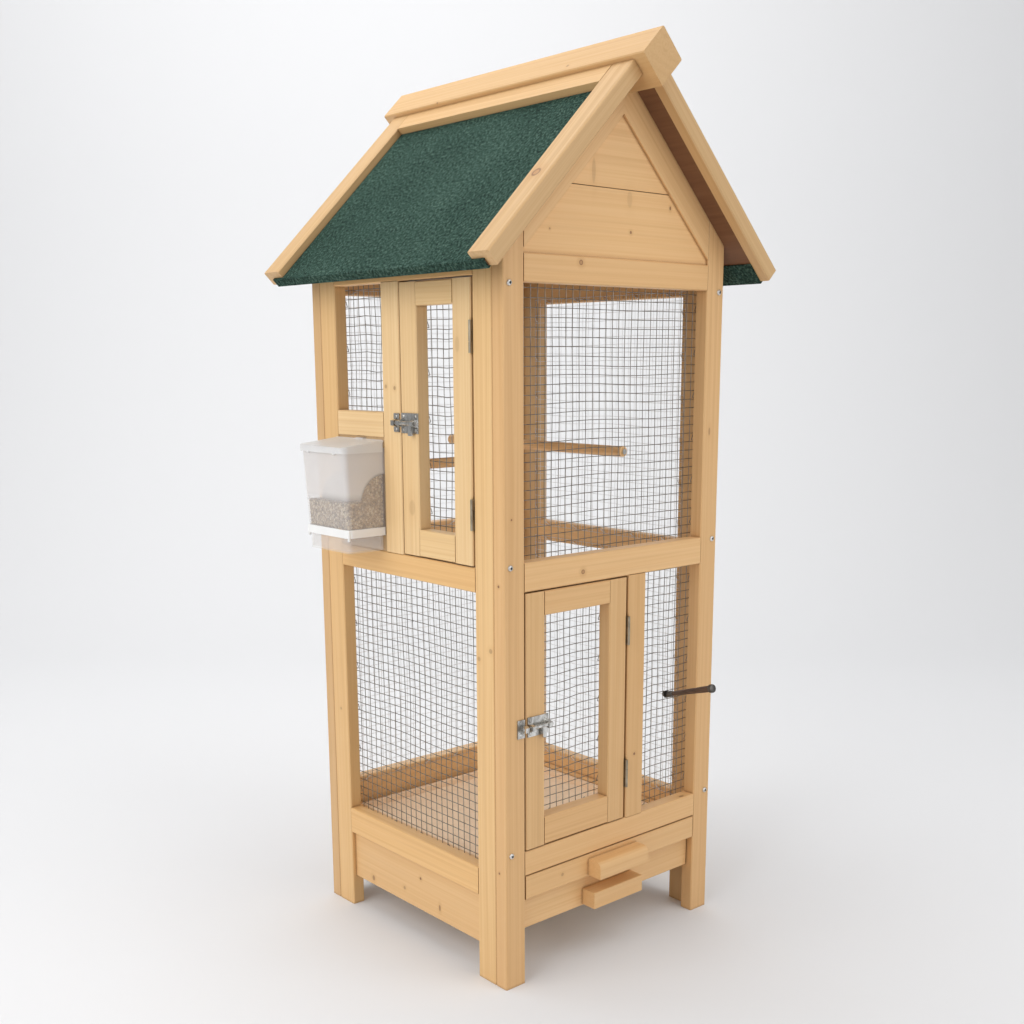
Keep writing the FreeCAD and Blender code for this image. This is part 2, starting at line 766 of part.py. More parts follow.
def build_trays():
    """Upper and lower trays and the runners that carry them."""
    reach_x = front_open_x - tray_gap
    upper_top = front_sill_low - tray_gap
    lower_top = upper_top - upper_tray_h - lower_tray_drop
    seats = [build_tray("upper_tray", upper_top, upper_tray_h, -half_d, upper_floor_lift, handle_round),
             build_tray("lower_tray", lower_top, lower_tray_h, -half_d + lower_tray_recess,
                        lower_floor_lift, ease)]
    runners = []
    for level, behind_front in seats:
        top = level - runner_gap
        start = max(-inner_y, behind_front)
        for side in (-1, 1):
            inner = side * (reach_x - runner_lap)
            beside = side * (reach_x + runner_side_gap)
            wall = side * inner_x
            points = [(inner, top - runner_t), (wall, top - runner_t), (wall, top + runner_side_h),
                      (beside, top + runner_side_h), (beside, top), (inner, top)]
            runners.append(prism_xz(points, start, inner_y - tray_back_gap))
    nodes["tray_runners"] = group(runners)


# Feeder box: its back lies on the feeder board, its outer and far walls lean out towards the top
feeder_y0 = post_y1 + feeder_side_gap
feeder_y1_top = side_open_y - feeder_far_gap_top
feeder_y1 = side_open_y - feeder_far_gap_low
feeder_floor = side_mid_top + feeder_floor_lift
feeder_top = feeder_rail_low - feeder_top_drop
slot_y0 = feeder_y0 + slot_in
slot_y1 = feeder_y1 - slot_in
slot_z0 = feeder_floor + slot_lift
slot_z1 = slot_z0 + slot_h
baffle_z = feeder_floor + seed_level

# Axis of the lid's round back edge
lid_axis_x = -half_w - lid_fit - lid_bead_r
lid_axis_z = feeder_top + lid_fit + lid_rise + lid_t / 2
lid_ear_r = lid_bead_r + lid_ear_fit + lid_ear_wall


def feeder_outer_x(z, inset):
    """X of the leaning outer wall at a level, moved inwards by an inset."""
    lean = (feeder_reach_upper - feeder_reach_lower) / (feeder_top - feeder_floor)
    return feeder_board_x - feeder_reach_lower - lean * (z - feeder_floor) + inset


def feeder_far_y(z, inset):
    """Y of the leaning far wall at a level, moved inwards by an inset."""
    lean = (feeder_y1_top - feeder_y1) / (feeder_top - feeder_floor)
    return feeder_y1 + lean * (z - feeder_floor) - inset


def feeder_box(z0, z1, inset):
    """Feeder box between two levels with its two outer corners rounded."""
    low, high = feeder_outer_x(z0, inset), feeder_outer_x(z1, inset)
    far_low, far_high = feeder_far_y(z0, inset), feeder_far_y(z1, inset)
    near = feeder_y0 + inset
    back = feeder_board_x - inset
    shape = prism_xz([(back, z0), (low, z0), (high, z1), (back, z1)], near, far_high)
    shape = shape.common(prism_yz([(near, z0), (far_low, z0), (far_high, z1), (near, z1)], high, back))
    outer = max(low, high)
    edges = [e for e in shape.Edges if all(v.X < outer + ease for v in e.Vertexes)
             and abs(e.Vertexes[0].Z - e.Vertexes[1].Z) > ease]
    return shape.makeFillet(feeder_round - inset, edges)


def build_feeder():
    """Hopper with its baffle, collar band, catch cup, lid, seed and the board behind them."""
    slot = block(feeder_board_x - feeder_wall - overrun, feeder_board_x + feeder_board_t + overrun,
                 slot_y0, slot_y1, slot_z0, slot_z1)
    board = block(feeder_board_x, feeder_board_x + feeder_board_t, post_y1, side_open_y,
                  side_mid_top, feeder_rail_low)
    nodes["feeder_board"] = board.cut(slot)

    along = Vector(0, 1, 0)
    centre = Vector(feeder_board_x - feeder_wall, feeder_y0 + feeder_wall, baffle_z)
    width = feeder_y1_top - feeder_y0
    shell = tube(centre, along, baffle_r, baffle_r - baffle_t, width)
    quarter = block(centre.x - baffle_r, centre.x, feeder_y0, feeder_y1_top, baffle_z, baffle_z + baffle_r)
    outside = feeder_box(feeder_floor - feeder_wall, feeder_top, 0)
    hopper = outside.cut(feeder_box(feeder_floor, feeder_top + overrun, feeder_wall))
    hopper = hopper.cut(slot).fuse(shell.common(quarter).common(outside)).fuse(lid_ear())
    nodes["feeder_hopper"] = hopper.removeSplitter()

    fill = feeder_box(feeder_floor + seed_gap, baffle_z + baffle_r, feeder_wall + seed_gap)
    inset = feeder_wall + seed_gap
    heap = rod(centre - along * feeder_wall, along, baffle_r - baffle_t - seed_gap, width)
    low = block(feeder_outer_x(feeder_top, 0), feeder_board_x, feeder_y0 + inset, feeder_y1_top,
                feeder_floor, baffle_z)
    nodes["feeder_seed"] = fill.common(heap.fuse(low)).removeSplitter()

    band_top = feeder_floor
    band_low = band_top - band_h
    reach = feeder_board_x - feeder_outer_x(feeder_floor, 0)

    def ring(outset, back, z0, z1):
        """Block with the feeder's plan at its floor, larger by an outset, up to a back plane."""
        front = feeder_board_x - reach - outset
        shape = block(front, back, feeder_y0 - outset, feeder_y1 + outset, z0, z1)
        return rounded_corners(shape, front, feeder_round + outset)

    collar = ring(band_lap, -half_w, band_low, band_top)
    collar = collar.cut(ring(-band_t, -half_w - band_t, band_low - overrun, band_top + overrun))
    nodes["feeder_band"] = collar.cut(feeder_box(feeder_floor - feeder_wall, feeder_top, 0))
    cup_inset = band_t + cup_fit
    cup_back = -half_w - cup_inset
    cup_low = side_mid_top + cup_lift
    cup_top = band_low + cup_lap
    cup = ring(-cup_inset, cup_back, cup_low, cup_top)
    hollow = ring(-cup_inset - feeder_wall, cup_back - feeder_wall, cup_low + feeder_wall, cup_top + overrun)
    nodes["feeder_cup"] = cup.cut(hollow)
    build_lid()


def rounded_corners(shape, front, radius):
    """Block with its two upright edges at X = front rounded."""
    edges = [e for e in shape.Edges if all(abs(v.X - front) < ease for v in e.Vertexes)
             and abs(e.Vertexes[0].Z - e.Vertexes[1].Z) > ease]
    return shape.makeFillet(radius, edges)


def lid_ear():
    """Clip on the hopper's back wall that holds the middle of the lid's round edge."""
    y0 = (feeder_y0 + feeder_y1 - lid_ear_w) / 2
    start = Vector(lid_axis_x, y0, lid_axis_z)
    along = Vector(0, 1, 0)
    arm = block(lid_axis_x, feeder_board_x, y0, y0 + lid_ear_w,
                feeder_top - feeder_wall, lid_axis_z + lid_ear_r)
    clip = rod(start, along, lid_ear_r, lid_ear_w).fuse(arm)
    return clip.cut(rod(start, along, lid_bead_r + lid_ear_fit, lid_ear_w))


def build_lid():
    """Cap over the hopper, hinged on its round edge by the wall, with a skirt on its three free sides."""
    over = lid_over + lid_fit + feeder_wall
    x0 = feeder_outer_x(feeder_top, 0) - over
    y0, y1 = feeder_y0 - feeder_side_gap + lid_fit, feeder_y1_top + over
    low = feeder_top - lid_skirt
    roof = feeder_top + lid_fit
    high = roof + lid_rise + lid_t
    outline = [(x0, low), (x0, roof + lid_t), (lid_axis_x, high), (lid_axis_x, low)]
    lid = rounded_corners(prism_xz(outline, y0, y1), x0, feeder_round + over)
    room_x = feeder_outer_x(feeder_top, 0) - lid_fit
    outline = [(room_x, low - overrun), (room_x, roof), (lid_axis_x, roof + lid_rise),
               (lid_axis_x, low - overrun)]
    room = prism_xz(outline, feeder_y0 - lid_fit, feeder_y1_top + lid_fit)
    lid = lid.cut(rounded_corners(room, room_x, feeder_round + lid_fit))
    notch_y0 = (feeder_y0 + feeder_y1 - lid_ear_w) / 2 - lid_fit
    notch = block(lid_axis_x - lid_ear_r - lid_fit, lid_axis_x, notch_y0, notch_y0 + lid_ear_w + 2 * lid_fit,
                  low, high)
    bead = rod(Vector(lid_axis_x, y0, lid_axis_z), Vector(0, 1, 0), lid_bead_r, y1 - y0)
    nodes["feeder_lid"] = lid.cut(notch).fuse(bead).removeSplitter()


def build_perches():
    """Perch between the front and back mesh with its washer-headed screws, and perch on the door post."""
    y_end = inner_y - net_wire - perch_high_gap
    high = rod(Vector(perch_high_x, -y_end, perch_high_z), Vector(0, 1, 0), perch_r, 2 * y_end)
    screws = []
    for side in (-1, 1):
        start, run = perch_screw_line(side)
        high = high.cut(rod(start, run, perch_screw_r + perch_fit, perch_screw_in + perch_fit))
        screw = rod(start, run, washer_r, washer_t)
        screws.append(screw.fuse(rod(start, run, perch_screw_r, perch_screw_in)).removeSplitter())
    nodes["perch_high"] = high
    nodes["perch_screws"] = group(screws)
    nodes["perch_low"] = rod(Vector(-inner_x - perch_socket, perch_low_y, perch_low_z), Vector(1, 0, 0),
                             perch_r, perch_socket + perch_low_reach)


# Foot of the outside perch on the mesh of the narrow front window
out_perch_x = front_open_x - out_perch_in
out_perch_z = front_sill_top + out_perch_rise


def build_outside_perch():
    """Whittled perch that leans up from the narrow front window, clamped through the mesh."""
    tilt = math.radians(out_perch_tilt)
    axis = Vector(0, -math.cos(tilt), math.sin(tilt))
    inward = Vector(0, 1, 0)
    root = Vector(out_perch_x, -inner_y, out_perch_z)
    neck = root + axis * out_root_cap_l
    tip = root + axis * out_perch_l
    nodes["outside_perch"] = whittled(neck, tip, out_perch_root_r, out_perch_tip_r, out_perch_facets)
    root_cap = whittled(root - axis * out_root_cap_r, neck, out_root_cap_r, out_root_cap_r, out_perch_facets)
    behind = block(out_perch_x - out_washer_r, out_perch_x + out_washer_r, -inner_y, inner_y,
                   out_perch_z - out_washer_r, out_perch_z + out_washer_r)
    tip_cap = whittled(tip, tip + axis * out_tip_cap_l, out_tip_cap_r, out_tip_cap_r, out_perch_facets)
    seat = root + inward * net_wire
    back = seat + inward * washer_t
    washer = rod(seat, inward, out_washer_r, washer_t)
    stud = whittled(root, back, out_bolt_r, out_bolt_r, hex_sides)
    nut = whittled(back, back + inward * out_nut_h, out_nut_r, out_nut_r, hex_sides)
    nodes["outside_perch_fittings"] = group([
        root_cap.cut(behind), tip_cap, washer.fuse(stud).fuse(nut).removeSplitter()])


def export():
    """Write each node with the whole cage's box centred over the origin and its feet on the floor."""
    box = group(list(nodes.values())).optimalBoundingBox(False)
    shift = Vector(-box.Center.x, -box.Center.y, -box.ZMin)
    os.makedirs("parts", exist_ok=True)
    for name, shape in nodes.items():
        shape.translated(shift).exportStep("parts/" + name + ".step")
    print("nodes", len(nodes), "box", box.XLength, box.YLength, box.ZLength, "shift", shift)
    return shift


build_bolts()
build_front_and_back()
build_side_panels()
build_left_infill()
build_meshes()
build_gables()
build_roof()
build_hardware()
build_doors()
build_trays()
build_feeder()
build_perches()
build_outside_perch()
origin_shift = export()
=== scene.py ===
"""Looks of a tall gabled bird cage in pine: finishes, wire mesh, small hardware and the studio."""
import logging
import math
from dataclasses import dataclass, field
from enum import Enum
from typing import Callable, Sequence

import bpy
import numpy as np
from mathutils import Matrix, Vector


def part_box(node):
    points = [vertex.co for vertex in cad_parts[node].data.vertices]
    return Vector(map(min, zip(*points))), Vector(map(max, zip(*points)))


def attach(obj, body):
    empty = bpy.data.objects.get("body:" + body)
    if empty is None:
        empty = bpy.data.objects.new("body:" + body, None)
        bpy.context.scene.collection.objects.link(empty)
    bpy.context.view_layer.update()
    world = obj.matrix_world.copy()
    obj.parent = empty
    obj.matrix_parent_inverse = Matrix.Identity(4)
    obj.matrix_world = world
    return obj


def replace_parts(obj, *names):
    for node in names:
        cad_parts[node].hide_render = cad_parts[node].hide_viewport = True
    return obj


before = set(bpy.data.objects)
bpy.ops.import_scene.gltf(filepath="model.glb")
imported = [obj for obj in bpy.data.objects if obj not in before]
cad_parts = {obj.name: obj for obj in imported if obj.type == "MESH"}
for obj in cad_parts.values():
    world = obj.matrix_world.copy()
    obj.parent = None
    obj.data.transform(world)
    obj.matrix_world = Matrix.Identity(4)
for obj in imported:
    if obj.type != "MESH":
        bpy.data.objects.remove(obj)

LOG = logging.getLogger("bird_cage")
MM = 0.001
WELD_DIGITS = 6
SORT_DIGITS = 4
HALF_RIGHT = math.sqrt(0.5)
SHARP_ANGLE = math.radians(40)
# Metres from one wave to the next of a wave texture at scale 1
WAVE_LENGTH = 0.314
# Points round a turned shape
HEXAGON = 6
SMALL_ROUND = 16
MIDDLE_ROUND = 24
LARGE_ROUND = 28
Colour = tuple[float, float, float]
Place = tuple[float, float, float]
Box = tuple[Vector, Vector]
Pair = tuple[float, float]
Profile = Sequence[Pair]
Waves = Sequence[tuple[float, float, float, int]]
Socket = bpy.types.NodeSocket
Material = bpy.types.Material


def cage_centre() -> Vector:
    """Find the point on the floor midway between the four corner posts.

    Returns:
        The point in metres.
    """
    front_low, front_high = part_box("front_stiles")
    back_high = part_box("back_stiles")[1]
    return Vector(((front_low.x + front_high.x) / 2, (front_low.y + back_high.y) / 2, 0.0))


CENTRE = cage_centre()


def spot(x: float, y: float, z: float) -> Vector:
    """Turn millimetres from the point between the posts into a place in metres."""
    return CENTRE + Vector((x, y, z)) * MM


def solids_of(node: str) -> list[Box]:
    """Split a node into its separate solids.

    Args:
        node: Name of the node.

    Returns:
        Lowest and highest corner of each solid, from the lowest solid up.
    """
    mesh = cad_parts[node].data
    keys: dict[tuple[float, ...], int] = {}
    owner: list[int] = []

    def root(index: int) -> int:
        """Follow a point's owners to the first one."""
        while owner[index] != index:
            index = owner[index]
        return index

    ids = []
    for vertex in mesh.vertices:
        key = tuple(round(c, WELD_DIGITS) for c in vertex.co)
        if key not in keys:
            keys[key] = len(owner)
            owner.append(len(owner))
        ids.append(keys[key])
    for polygon in mesh.polygons:
        first = root(ids[polygon.vertices[0]])
        for index in polygon.vertices[1:]:
            owner[root(ids[index])] = first
    groups: dict[int, list[tuple[float, ...]]] = {}
    for key, index in keys.items():
        groups.setdefault(root(index), []).append(key)
    boxes = [(Vector(np.min(points, axis=0)), Vector(np.max(points, axis=0)))
             for points in groups.values()]
    return sorted(boxes, key=lambda box: tuple(round(box[0][k], SORT_DIGITS) for k in (2, 0, 1)))


class Grain(Enum):
    """Way in which the fibres of a board run."""

    UPRIGHT = "upright"
    ALONG_X = "along x"
    ALONG_Y = "along y"
    RAKED = "up the roof slopes"
    ROUND_BASE = "along the base boards"


class Graph:
    """Node graph of one procedural material."""

    def __init__(self, name: str) -> None:
        """Start a material that holds one principled shader."""
        self.material = bpy.data.materials.new(name)
        self.material.use_nodes = True
        self.tree = self.material.node_tree
        self.tree.nodes.clear()
        self.shader = self.add("BsdfPrincipled")
        self.add("OutputMaterial", {"Surface": self.shader.outputs["BSDF"]})

    def add(self, kind: str, inputs: dict | None = None, **settings: object) -> bpy.types.Node:
        """Add a node.

        Args:
            kind: Type of the shader node.
            inputs: Sockets or plain values by input name or index.
            settings: Properties of the node.

        Returns:
            The new node.
        """
        node = self.tree.nodes.new("ShaderNode" + kind)
        for key, value in settings.items():
            setattr(node, key, value)
        for key, value in (inputs or {}).items():
            self.feed(node, key, value)
        return node

    def feed(self, node: bpy.types.Node, key: str | int, value: object) -> None:
        """Link a socket to a node's input, or set the input to a plain value."""
        if isinstance(value, Socket):
            self.tree.links.new(value, node.inputs[key])
        else:
            node.inputs[key].default_value = value

    def math(self, way: str, first: object, second: object = 0.0) -> Socket:
        """Work out a number from one or two others."""
        return self.add("Math", {0: first, 1: second}, operation=way).outputs[0]

    def vector(self, way: str, first: object, second: object) -> Socket:
        """Work out a vector from two others."""
        node = self.add("VectorMath", {0: first, 1: second}, operation=way)
        return node.outputs["Vector"]

    def scaled(self, vector: Socket, factor: object) -> Socket:
        """Multiply a vector by one number."""
        node = self.add("VectorMath", {0: vector, "Scale": factor}, operation="SCALE")
        return node.outputs["Vector"]

    def place(self) -> Socket:
        """Place on the object, measured from the point between the posts."""
        spot_on_object = self.add("TexCoord").outputs["Object"]
        return self.vector("SUBTRACT", spot_on_object, tuple(CENTRE))

    def noise(self, vector: Socket, scale: Place, detail: float, coloured: bool = False) -> Socket:
        """Make cloudy noise.

        Args:
            vector: Place on the object.
            scale: Waves per metre along the vector's three parts.
            detail: Number of finer layers.
            coloured: Whether three separate noises are wanted.

        Returns:
            A number from 0 to 1, or three of them.
        """
        stretched = self.vector("MULTIPLY", vector, scale)
        inputs = {"Vector": stretched, "Scale": 1.0, "Detail": detail}
        node = self.add("TexNoise", inputs)
        return node.outputs["Color"] if coloured else node.outputs[0]

    def grains(self, vector: Socket, scale: float) -> bpy.types.Node:
        """Make round cells, each with a colour of its own."""
        return self.add("TexVoronoi", {"Vector": vector, "Scale": scale})

    def ramp(self, number: Socket, stops: Sequence[tuple[float, Colour]]) -> Socket:
        """Turn a number into a colour by its place between named stops."""
        node = self.add("ValToRGB", {0: number})
        marks = node.color_ramp.elements
        while len(marks) < len(stops):
            marks.new(0.5)
        for mark, (position, colour) in zip(marks, stops):
            mark.position = position
            mark.color = (*colour, 1.0)
        return node.outputs["Color"]

    def fade(self, number: Socket, start: float, end: float, low: float = 1.0,
             high: float = 0.0) -> Socket:
        """Ease a number from low at start to high at end."""
        values = {"Value": number, "From Min": start, "From Max": end,
                  "To Min": low, "To Max": high}
        node = self.add("MapRange", values, interpolation_type="SMOOTHSTEP")
        return node.outputs["Result"]

    def blend(self, parts: Sequence[tuple[Socket, float]]) -> Socket:
        """Add two numbers, each with its own share."""
        first, second = [self.math("MULTIPLY", number, share) for number, share in parts]
        return self.math("ADD", first, second)

    def mix(self, share: object, first: object, second: object, way: str = "MIX") -> Socket:
        """Mix two colours."""
        inputs = {0: share, 6: self.rgba(first), 7: self.rgba(second)}
        return self.add("Mix", inputs, data_type="RGBA", blend_type=way).outputs[2]

    @staticmethod
    def rgba(value: object) -> object:
        """Give a plain colour its fourth part."""
        return value if isinstance(value, Socket) else (*value, 1.0)

    def bump(self, height: Socket, depth: float, strength: float) -> None:
        """Raise the surface by a height of up to a depth in millimetres."""
        inputs = {"Height": height, "Strength": strength, "Distance": depth * MM}
        self.feed(self.shader, "Normal", self.add("Bump", inputs).outputs["Normal"])

    def finish(self, colour: object, roughness: object, **fixed: float) -> Material:
        """Set the shader's colour, roughness and other uniform values.

        Args:
            colour: Base colour or the socket that gives it.
            roughness: Roughness or the socket that gives it.
            fixed: Other inputs by name, with spaces written as underscores.

        Returns:
            The finished material.
        """
        self.feed(self.shader, "Base Color", self.rgba(colour))
        self.feed(self.shader, "Roughness", roughness)
        for key, value in fixed.items():
            self.shader.inputs[key.replace("_", " ")].default_value = value
        return self.material


@dataclass(frozen=True)
class Knot:
    """Branch knot in a board.

    Attributes:
        place: Middle of the knot in millimetres.
        radius: Radius in millimetres.
        ringed: Whether only the rim is dark.
        depth: Share of the rim's darkness.
        stretch: Lengthening along the three axes.
    """

    place: Place
    radius: float
    ringed: bool = False
    depth: float = 0.9
    stretch: Place = (1.0, 1.0, 1.0)


@dataclass(frozen=True)
class PineFinish:
    """Clear-coated planed pine.

    Each grain size is waves per metre, twice across the fibres and once along them.
    """

    pale: Colour = (0.84, 0.543, 0.262)
    warm: Colour = (0.71, 0.408, 0.165)
    late: Colour = (0.55, 0.28, 0.10)
    rim: Colour = (0.21, 0.080, 0.028)
    heart: Colour = (0.50, 0.27, 0.11)
    # Colour, reach in millimetres and strength of the painted shade in joints and crevices
    crevice_shade: Colour = (0.25, 0.11, 0.04)
    ring_gap: float = 11.0
    crevice_shade_reach: float = 5.0
    back_line: float = 190.0
    wander: float = 0.03
    wander_grain: Place = (6, 6, 1.1)
    band_grain: Place = (26, 26, 0.9)
    fibre_grain: Place = (380, 380, 3.5)
    cloud_grain: Place = (4, 4, 0.7)
    line_grain: Place = (120, 120, 1.0)
    late_share: float = 0.30
    fibre_share: float = 0.5
    cloud_share: float = 0.45
    crevice_shade_share: float = 0.62
    stain_share: float = 0.40
    polish: Pair = (0.42, 0.58)
    heart_step: Pair = (0.37, 0.23)
    heart_start: Pair = (0.05, 0.04)

    def along(self, graph: Graph, grain: Grain) -> Socket:
        """Turn the place on the object so that its third part runs along the fibres."""
        place = graph.place()
        x, y, z = graph.add("SeparateXYZ", {"Vector": place}).outputs
        if grain is Grain.RAKED:
            out = graph.math("ABSOLUTE", x)
            parts = (y, graph.math("MULTIPLY", graph.math("ADD", z, out), HALF_RIGHT),
                     graph.math("MULTIPLY", graph.math("SUBTRACT", z, out), HALF_RIGHT))
        elif grain is Grain.ROUND_BASE:
            at_back = graph.math("GREATER_THAN", y, self.back_line * MM)
            swap = graph.math("MULTIPLY", at_back, graph.math("SUBTRACT", x, y))
            parts = (graph.math("SUBTRACT", x, swap), z, graph.math("ADD", y, swap))
        else:
            parts = {Grain.UPRIGHT: (x, y, z), Grain.ALONG_X: (y, z, x),
                     Grain.ALONG_Y: (x, z, y)}[grain]
        return graph.add("CombineXYZ", dict(enumerate(parts))).outputs["Vector"]

    def material(self, name: str, grain: Grain, seed: float, knots: Sequence[Knot],
                 tone_and_painted_light: Colour) -> Material:
        """Make the finish of one node.

        Args:
            name: Name of the material.
            grain: Way in which the fibres run.
            seed: Number that moves the ring pattern to a place of its own.
            knots: Knots that show on the node.
            tone_and_painted_light: Factor on the wood's colour, by colour part, for the board's
                own tone and for painted light and shade.

        Returns:
            The material.
        """
        graph = Graph(name)
        heart = [seed * step + start for step, start in zip(self.heart_step, self.heart_start)]
        run = graph.vector("ADD", self.along(graph, grain), (*heart, seed))
        sway = graph.noise(run, self.wander_grain, 1.0, True)
        sway = graph.vector("SUBTRACT", sway, (0.5, 0.5, 0.5))
        bent = graph.vector("ADD", run, graph.scaled(sway, self.wander))
        place = graph.place()
        near = []
        for knot in knots:
            gap = graph.vector("SUBTRACT", place, tuple(v * MM for v in knot.place))
            gap = graph.vector("DIVIDE", gap, knot.stretch)
            node = graph.add("VectorMath", {0: gap}, operation="LENGTH")
            near.append((knot, graph.math("DIVIDE", node.outputs["Value"], knot.radius * MM)))
        waves = {"Vector": bent, "Scale": WAVE_LENGTH / (self.ring_gap * MM), "Distortion": 0.8,
                 "Detail": 2.0, "Detail Scale": 0.4}
        rings = graph.add("TexWave", waves, wave_type="RINGS", rings_direction="Z")
        rings = rings.outputs["Fac"]
        band = graph.noise(bent, self.band_grain, 2.0)
        fibre = graph.noise(run, self.fibre_grain, 3.0)
        cloud = graph.noise(run, self.cloud_grain, 1.0)
        line = graph.noise(bent, self.line_grain, 2.0)
        line = graph.fade(line, 0.5, 0.72, 0.0, self.late_share)
        late = graph.math("MULTIPLY", graph.math("POWER", rings, 2.0),
                          graph.fade(band, 0.35, 0.75, 0.0, self.late_share))
        late = graph.math("MAXIMUM", late, line)
        colour = graph.mix(late, self.pale, self.late)
        colour = graph.mix(graph.fade(fibre, 0.35, 0.75, 0.0, self.fibre_share), colour, self.warm)
        colour = graph.mix(graph.fade(cloud, 0.3, 0.7, 0.0, self.cloud_share), colour, self.warm)
        # The board's own tone together with painted light and shade
        colour = graph.mix(1.0, colour, tone_and_painted_light, "MULTIPLY")
        for knot, far in near:
            stain = graph.fade(far, 1.0, 3.6, self.stain_share * knot.depth, 0.0)
            colour = graph.mix(stain, colour, self.late)
            colour = graph.mix(graph.fade(far, 0.8, 1.3, knot.depth, 0.0), colour, self.rim)
            if knot.ringed:
                colour = graph.mix(graph.fade(far, 0.6, 0.85, 1.0, 0.0), colour, self.heart)
        # Painted shade: ambient occlusion darkens the wood in joints, crevices and inner corners.
        corner = graph.add("AmbientOcclusion", {"Distance": self.crevice_shade_reach * MM},
                           samples=6).outputs["AO"]
        painted_crevice_shade = graph.fade(corner, 0.35, 0.95, self.crevice_shade_share, 0.0)
        colour = graph.mix(painted_crevice_shade, colour, self.crevice_shade)
        graph.bump(graph.math("ADD", graph.math("MULTIPLY", rings, 0.4), fibre), 0.25, 0.35)
        rough = graph.fade(fibre, 0.2, 0.8, *self.polish)
        return graph.finish(colour, rough, Coat_Weight=0.12, Coat_Roughness=0.35)


@dataclass(frozen=True)
class BoardFinish:
    """Thin sheet wood: plywood or hardboard with short fibres."""

    light: Colour
    dark: Colour
    streak: Place
    roughness: float = 0.62
    cloud: Place = (9, 9, 9)

    def material(self, name: str) -> Material:
        """Make the finish."""
        graph = Graph(name)
        place = graph.place()
        streaks = graph.noise(place, self.streak, 4.0)
        clouds = graph.noise(place, self.cloud, 2.0)
        share = graph.blend([(streaks, 0.65), (clouds, 0.35)])
        graph.bump(streaks, 0.25, 0.4)
        colour = graph.ramp(share, [(0.3, self.dark), (0.7, self.light)])
        return graph.finish(colour, self.roughness)


@dataclass(frozen=True)
class FeltFinish:
    """Roofing felt coated with mineral grit."""

    deep: Colour = (0.007, 0.022, 0.016)
    green: Colour = (0.024, 0.062, 0.046)
    fleck: Colour = (0.080, 0.140, 0.108)
    grit: float = 620.0
    lump: Place = (260, 260, 260)
    patch: Place = (7, 7, 7)

    def material(self, name: str) -> Material:
        """Make the finish."""
        graph = Graph(name)
        place = graph.place()
        grit = graph.grains(place, self.grit).outputs["Distance"]
        lumps = graph.noise(place, self.lump, 2.0)
        patches = graph.noise(place, self.patch, 2.0)
        share = graph.blend([(lumps, 0.72), (graph.math("ADD", patches, grit), 0.16)])
        colour = graph.ramp(share, [(0.40, self.deep), (0.53, self.green), (0.68, self.fleck)])
        graph.bump(graph.math("ADD", lumps, grit), 1.1, 0.75)
        return graph.finish(colour, 0.92, Specular_IOR_Level=0.2)


@dataclass(frozen=True)
class MetalFinish:
    """Bare or plated metal with faint smears; on the bright zinc the dark smears are strong and
    also stand for painted dark reflections.
    """

    colour: Colour
    dark_smear_and_reflection: Colour
    roughness: float
    smear: Place = (140, 140, 60)

    def material(self, name: str) -> Material:
        """Make the finish."""
        graph = Graph(name)
        smears = graph.noise(graph.place(), self.smear, 3.0)
        colour = graph.mix(graph.fade(smears, 0.35, 0.7, 0.0, 0.8), self.colour, self.dark_smear_and_reflection)
        rough = graph.fade(smears, 0.3, 0.75, self.roughness, self.roughness + 0.18)
        graph.bump(smears, 0.04, 0.4)
        return graph.finish(colour, rough, Metallic=1.0)


@dataclass(frozen=True)
class Heap:
    """Seed that lies against a see-through wall, with a rounded rise at one side.

    Attributes:
        side: Place of the rise's middle across the wall, in metres.
        level: Height of the flat part, in metres.
        radius: Radius of the rise, in metres.
    """

    side: float
    level: float
    radius: float


@dataclass(frozen=True)
class PlasticFinish:
    """Moulded plastic, frosted where it lets light through.

    Attributes:
        colour: Main colour.
        cloud: Colour of faint clouds in it.
        cover: Share of the view that one surface hides.
        roughness: Least roughness.
        clear_cover: The same share where nothing lies against the plastic.
        rise_fade: Heights over the heap's level between which the cover changes, in millimetres.
        edge_fade: Widths about the heap's radius between which it changes, in millimetres.
        cloud_grain: Waves of the clouds per metre.
        skin_grain: Waves of the rough skin per metre.
    """

    colour: Colour
    cloud: Colour
    cover: float
    roughness: float
    clear_cover: float = 0.5
    rise_fade: Pair = (-2.0, 16.0)
    edge_fade: Pair = (-1.0, 5.0)
    cloud_grain: Place = (26, 26, 16)
    skin_grain: Place = (700, 700, 700)

    def material(self, name: str, heap: Heap | None = None) -> Material:
        """Make the finish, whiter where the heap doesn't lie against it."""
        graph = Graph(name)
        place = graph.place()
        clouds = graph.noise(place, self.cloud_grain, 2.0)
        skin = graph.noise(place, self.skin_grain, 2.0)
        colour = graph.mix(graph.fade(clouds, 0.3, 0.7, 0.0, 1.0), self.colour, self.cloud)
        graph.bump(skin, 0.03, 0.5)
        rough = graph.fade(clouds, 0.3, 0.7, self.roughness, self.roughness + 0.1)
        if heap is None:
            return graph.finish(colour, rough, Alpha=self.cover)
        graph.feed(graph.shader, "Alpha", self.heap_cover(graph, place, heap))
        return graph.finish(colour, rough)

    def heap_cover(self, graph: Graph, place: Socket, heap: Heap) -> Socket:
        """Work out the cover from the place and the heap behind the plastic."""
        x, _, z = graph.add("SeparateXYZ", {"Vector": place}).outputs
        above = graph.math("SUBTRACT", z, heap.level)
        aside = graph.math("SUBTRACT", x, heap.side)
        gap = graph.math("SQRT", graph.math("ADD", graph.math("MULTIPLY", above, above),
                                            graph.math("MULTIPLY", aside, aside)))
        rise = [height * MM for height in self.rise_fade]
        edge = [heap.radius + width * MM for width in self.edge_fade]
        # Painted light: away from the seed the frosted wall hides more, so that its pale colour
        # paints in the light that it scatters.
        free = graph.math("MULTIPLY", graph.fade(above, *rise, 0.0, 1.0),
                          graph.fade(gap, *edge, 0.0, 1.0))
        cover = graph.math("MULTIPLY", free, self.clear_cover - self.cover)
        return graph.math("ADD", cover, self.cover)


